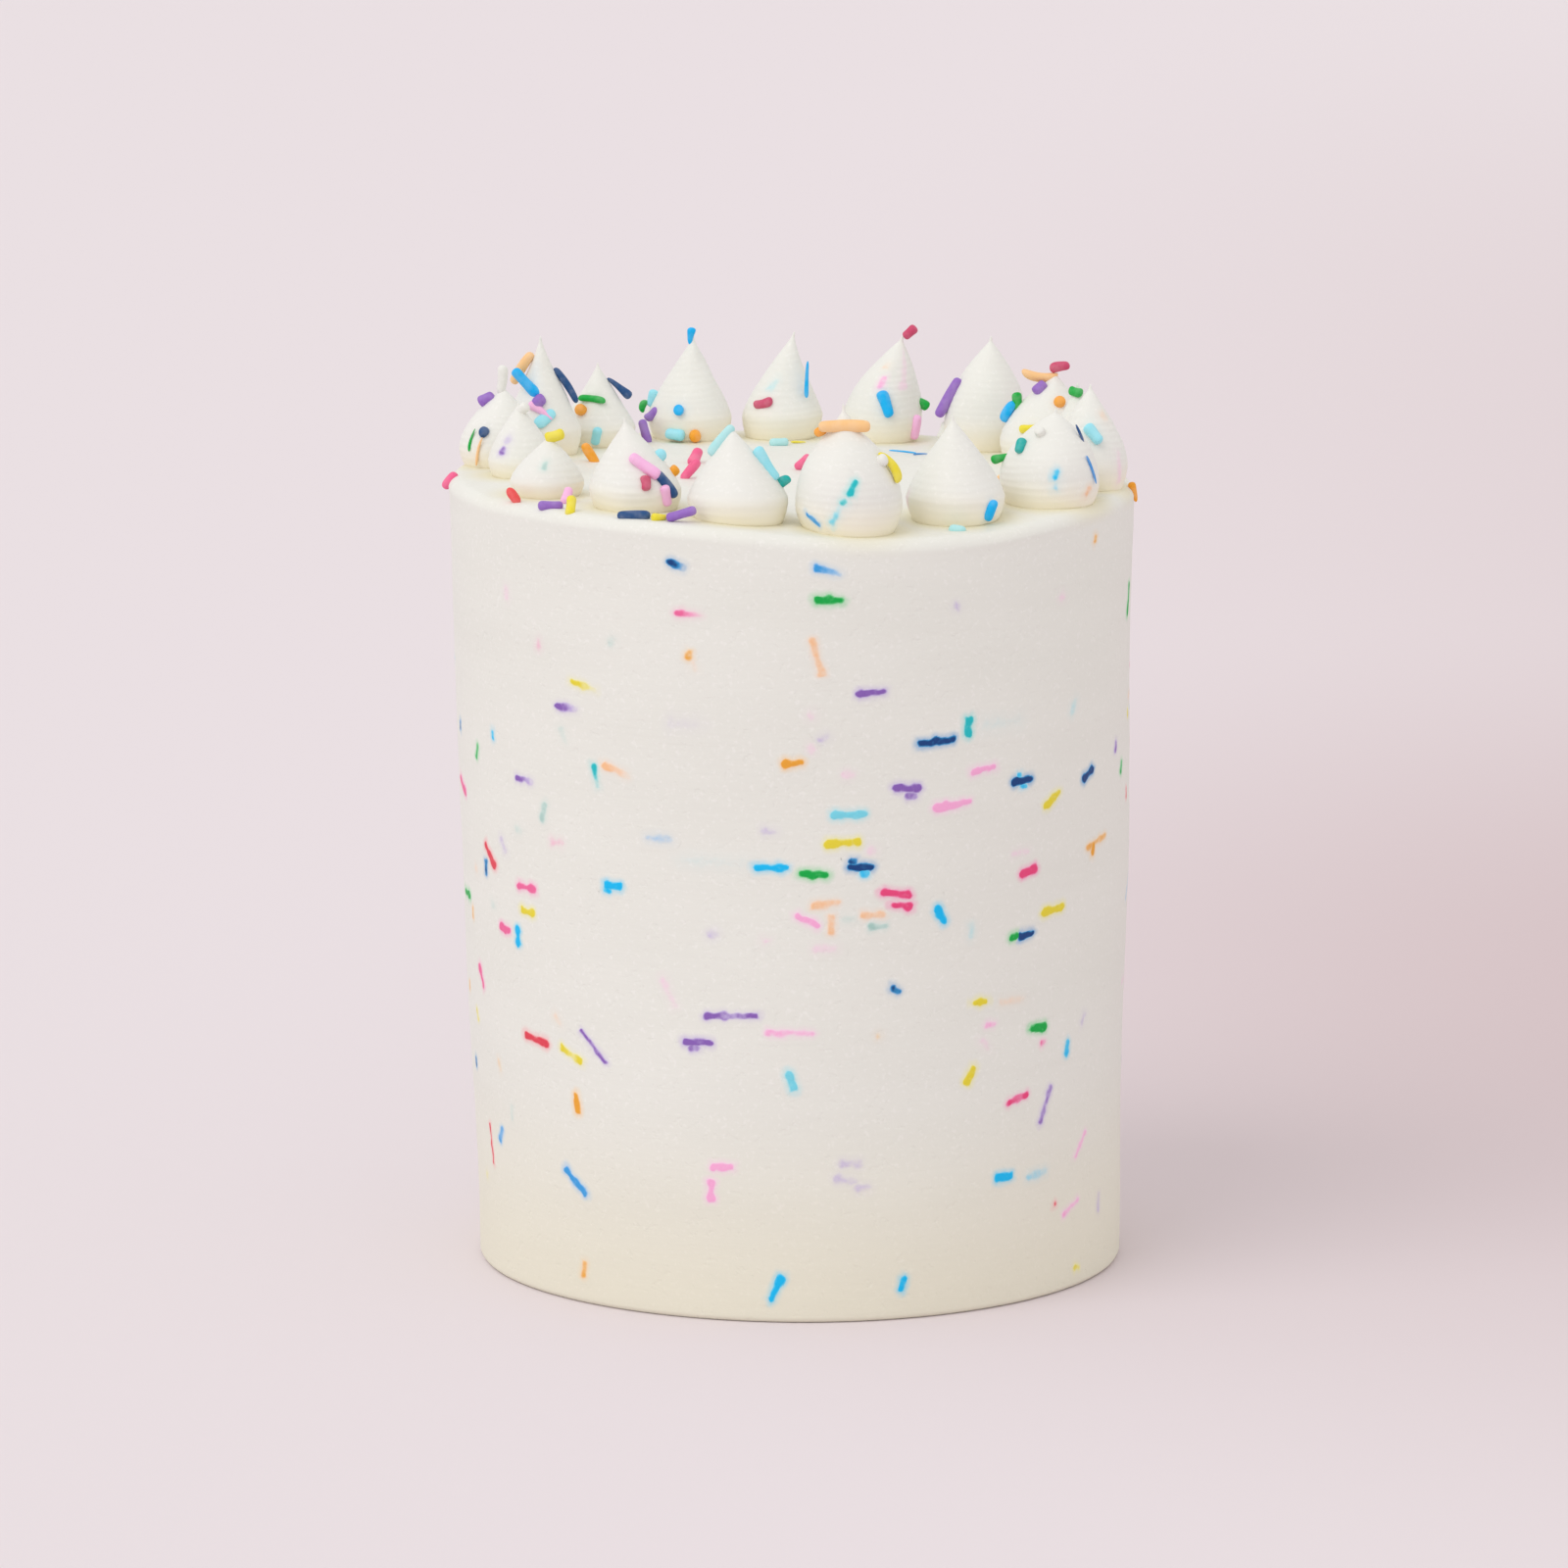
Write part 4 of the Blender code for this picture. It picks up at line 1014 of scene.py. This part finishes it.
rodShape = namedtuple(
    "rodShape", "thick taper bend blunt forward squash free", defaults=[0.0, 1.0, False]
)
rodShapes = {
    "plain": rodShape(1.0, 1.0, 0.0, 5.6),
    "thick": rodShape(1.2, 0.97, 0.0, 5.6, forward=0.3),
    "proud": rodShape(1.1, 1.0, 0.0, 5.6, forward=1.8, free=True),
    "flat": rodShape(1.2, 1.0, 0.0, 4.6, squash=0.5),
    "sag": rodShape(0.95, 0.95, -1.2, 3.2),
    "hook": rodShape(1.05, 0.55, -1.2, 4.6),
    "wedge": rodShape(1.05, 0.35, 0.0, 4.6),
    "slim": rodShape(0.78, 0.85, 0.4, 4.6),
    "blade": rodShape(0.55, 0.5, 0.3, 3.0, forward=4.6),
    "thin": rodShape(0.34, 0.6, 0.4, 2.4),
    "hair": rodShape(0.2, 0.8, 0.5, 3.0),
    "stub": rodShape(1.1, 0.8, 0.0, 2.8),
    "dot": rodShape(1.15, 1.0, 0.0, 4.5),
}
rodMesh = {
    "radius": 1.25, "kissLift": 0.4, "sides": 16, "rings": 17, "bluntFrom": 5.0,
    "uneven": 0.07, "unevenTurns": 5.0, "wander": 0.12, "wanderTurns": 4.0,
    "bends": (-0.2, 0.2), "squash": (0.88, 1.0), "phase": (0.0, 6.0),
}


def rodPoints(place, along, outward, length, shape, seed):
    shape = rodShapes[shape]
    draw = random.Random(seed)
    along = along.normalized()
    side = outward.cross(along).normalized()
    up = along.cross(side).normalized()
    turns = turnsRound(rodMesh["sides"])
    bend = shape.bend + draw.uniform(*rodMesh["bends"])
    squash = draw.uniform(*rodMesh["squash"]) * shape.squash
    phase = draw.uniform(*rodMesh["phase"])
    blunt = shape.blunt * max(length / rodMesh["bluntFrom"], 1.0)

    # The middle of the rod at a share of its length
    def middle(share):
        off = 2.0 * share - 1.0
        wander = rodMesh["wander"] * math.sin(rodMesh["wanderTurns"] * share + phase)
        return along * (0.5 * length * off) + side * (bend * (1.0 - off ** 2) + wander)

    rings = []
    count = rodMesh["rings"]
    for ring in range(1, count):
        share = 0.5 - 0.5 * math.cos(math.pi * ring / count)
        ends = (1.0 - abs(2.0 * share - 1.0) ** blunt) ** 0.5
        thick = shape.thick * (1.0 + (shape.taper - 1.0) * share)
        wobble = 1.0 + rodMesh["uneven"] * math.sin(rodMesh["unevenTurns"] * share + phase)
        radius = rodMesh["radius"] * thick * ends * wobble
        for turn in turns:
            off = side * (radius * math.cos(turn)) + up * (radius * squash * math.sin(turn))
            rings.append(place + middle(share) + off)
    points = np.array([tuple(point) for point in rings + [place + middle(0.0), place + middle(1.0)]])
    return points, ringFaces(count - 1, rodMesh["sides"])


def plateRod(x, y, lift, turn, rise):
    turn = math.radians(turn)
    rise = math.radians(rise)
    along = Vector((math.cos(turn) * math.cos(rise), math.sin(turn) * math.cos(rise), math.sin(rise)))
    return Vector((x, y, float(plateLevel(x, y)) + lift)), along, Vector((0.0, 0.0, 1.0))


# Near the outline a sprinkle keeps its tilt as seen from the front, as a free one does, and
# elsewhere it lies on the skin
def kissRod(number, across, height, tilt, length, facing, shape):
    form = kissForms[number - 1]
    share = min(height / form.height, 1.0)
    off = across - form.lean * share * share
    reach = float(kissRadius(form, share)) + rodMesh["kissLift"]
    away = math.sqrt(max(reach * reach - off * off, 0.0))
    along = Vector((math.cos(math.radians(tilt)), 0.0, math.sin(math.radians(tilt))))
    outward = Vector((0.0, facing, 0.0))
    if away > 0.5 * reach and not shape.free:
        narrowing = float(kissRadius(form, share - shareStep) - kissRadius(form, share + shareStep))
        upwards = narrowing / (2.0 * shareStep * form.height)
        outward = Vector((off / reach, facing * away / reach, upwards)).normalized()
        along = (along - outward * along.dot(outward)).normalized()
    x = form.across + across
    y = form.back + facing * (away + shape.forward)
    foot = float(plateLevel(form.across, form.back)) + kissFinish["gap"]
    sunk = 0.5 * length * abs(along.z) + rodMesh["radius"] * math.hypot(along.x, along.y)
    z = max(foot + height, float(plateLevel(x, y)) + kissFinish["gap"] + sunk)
    return Vector((x, y, z)), along, outward


firstRodSeed = 500


def makeWholeSprinkles():
    byColour = {name: [] for name in list(sprinkleColours) + ["coated"]}
    rods = []
    for x, y, lift, turn, rise, length, colour, shape in plateSprinkles:
        rods.append(plateRod(x, y, lift, turn, rise) + (length, colour, shape))
    for facing, sprinkles in ((-1, kissSprinkles), (1, backSprinkles)):
        for number, across, height, tilt, length, colour, shape in sprinkles:
            placed = kissRod(number, across, height, tilt, length, facing, rodShapes[shape])
            rods.append(placed + (length, colour, shape))
    for index, (place, along, outward, length, colour, shape) in enumerate(rods):
        if shape == "dot":  # seen end on
            along, outward = outward, along
        byColour[colour].append(rodPoints(place, along, outward, length, shape, firstRodSeed + index))
    for colour, parts in byColour.items():
        points, faces = joinMeshes(parts)
        if colour == "coated":
            shades = {"glowAndFootWarmth": np.zeros(len(points))}
            addPiece("whole_sprinkles_coated", points, faces, pipedMaterial, shades)
        else:
            material = sugarMaterial("sprinkle " + colour, colour)
            addPiece("whole_sprinkles_" + colour, points, faces, material)
    return len(rods)


print("whole sprinkles made:", makeWholeSprinkles())


# Floor, light and world

studio = {
    "floor": paint(231, 222, 226),
    # the colour of the painted shadow on the floor, and the soft patches where it lies
    "shade": paint(208, 188, 191),
    "shades": [
        {"middle": (0.26, 0.30), "reach": (0.42, 0.70), "share": 0.65},
        {"middle": (0.50, 1.00), "reach": (0.60, 2.60), "share": 0.45},
    ],
    "floorHalf": 9.0,
    "floorRoughness": 0.9,
    "worldColour": (1.0, 0.982, 0.975, 1.0),
    "worldStrength": 0.85,
    "sunStrength": 0.72,
    "sunColour": (1.0, 0.99, 0.975),
    "sunSpread": 40.0,
    "sunFrom": (-0.47, -0.45, 0.76),
}


def addSun():
    data = bpy.data.lights.new("soft sun", "SUN")
    data.energy = studio["sunStrength"]
    data.color = studio["sunColour"]
    data.angle = math.radians(studio["sunSpread"])
    light = placeObject("soft sun", data)
    light.rotation_euler = (-Vector(studio["sunFrom"])).to_track_quat("-Z", "Y").to_euler()


def makeFloor():
    half = studio["floorHalf"]
    mesh = bpy.data.meshes.new("floor")
    corners = [(-half, -half, 0), (half, -half, 0), (half, half, 0), (-half, half, 0)]
    mesh.from_pydata(corners, [], [(0, 1, 2, 3)])
    material, tree, shader = newMaterial("floor paper")
    # Painted shadow on the floor: two soft darker patches behind and to the right of the cake, for its soft
    # shadow and the light falling off there
    share = 0.0
    for shade in studio["shades"]:
        middle, reach = shade["middle"], shade["reach"]
        location = (-middle[0] / reach[0], -middle[1] / reach[1], 0.0)
        vector = placed(tree, Location=location, Scale=(1.0 / reach[0], 1.0 / reach[1], 1.0))
        fade = addNode(tree, "ShaderNodeTexGradient", {"Vector": vector}, gradient_type="SPHERICAL")
        soft = smoothRange(tree, fade.outputs["Fac"], 0.0, 1.0)
        share = mathNode(tree, "MULTIPLY_ADD", soft, shade["share"], share)
    paperAndShadow = mixColours(tree, share, studio["floor"], studio["shade"])
    tree.links.new(paperAndShadow, shader.inputs["Base Color"])
    shader.inputs["Roughness"].default_value = studio["floorRoughness"]
    mesh.materials.append(material)
    placeObject("floor", mesh)


def makeWorld():
    world = bpy.data.worlds.new("studio")
    world.use_nodes = True
    sky = world.node_tree.nodes["Background"]
    sky.inputs["Color"].default_value = studio["worldColour"]
    sky.inputs["Strength"].default_value = studio["worldStrength"]
    bpy.context.scene.world = world
    bpy.context.scene.view_settings.view_transform = "Standard"


makeFloor()
addSun()
makeWorld()
print("studio set")

bpy.context.view_layer.update()
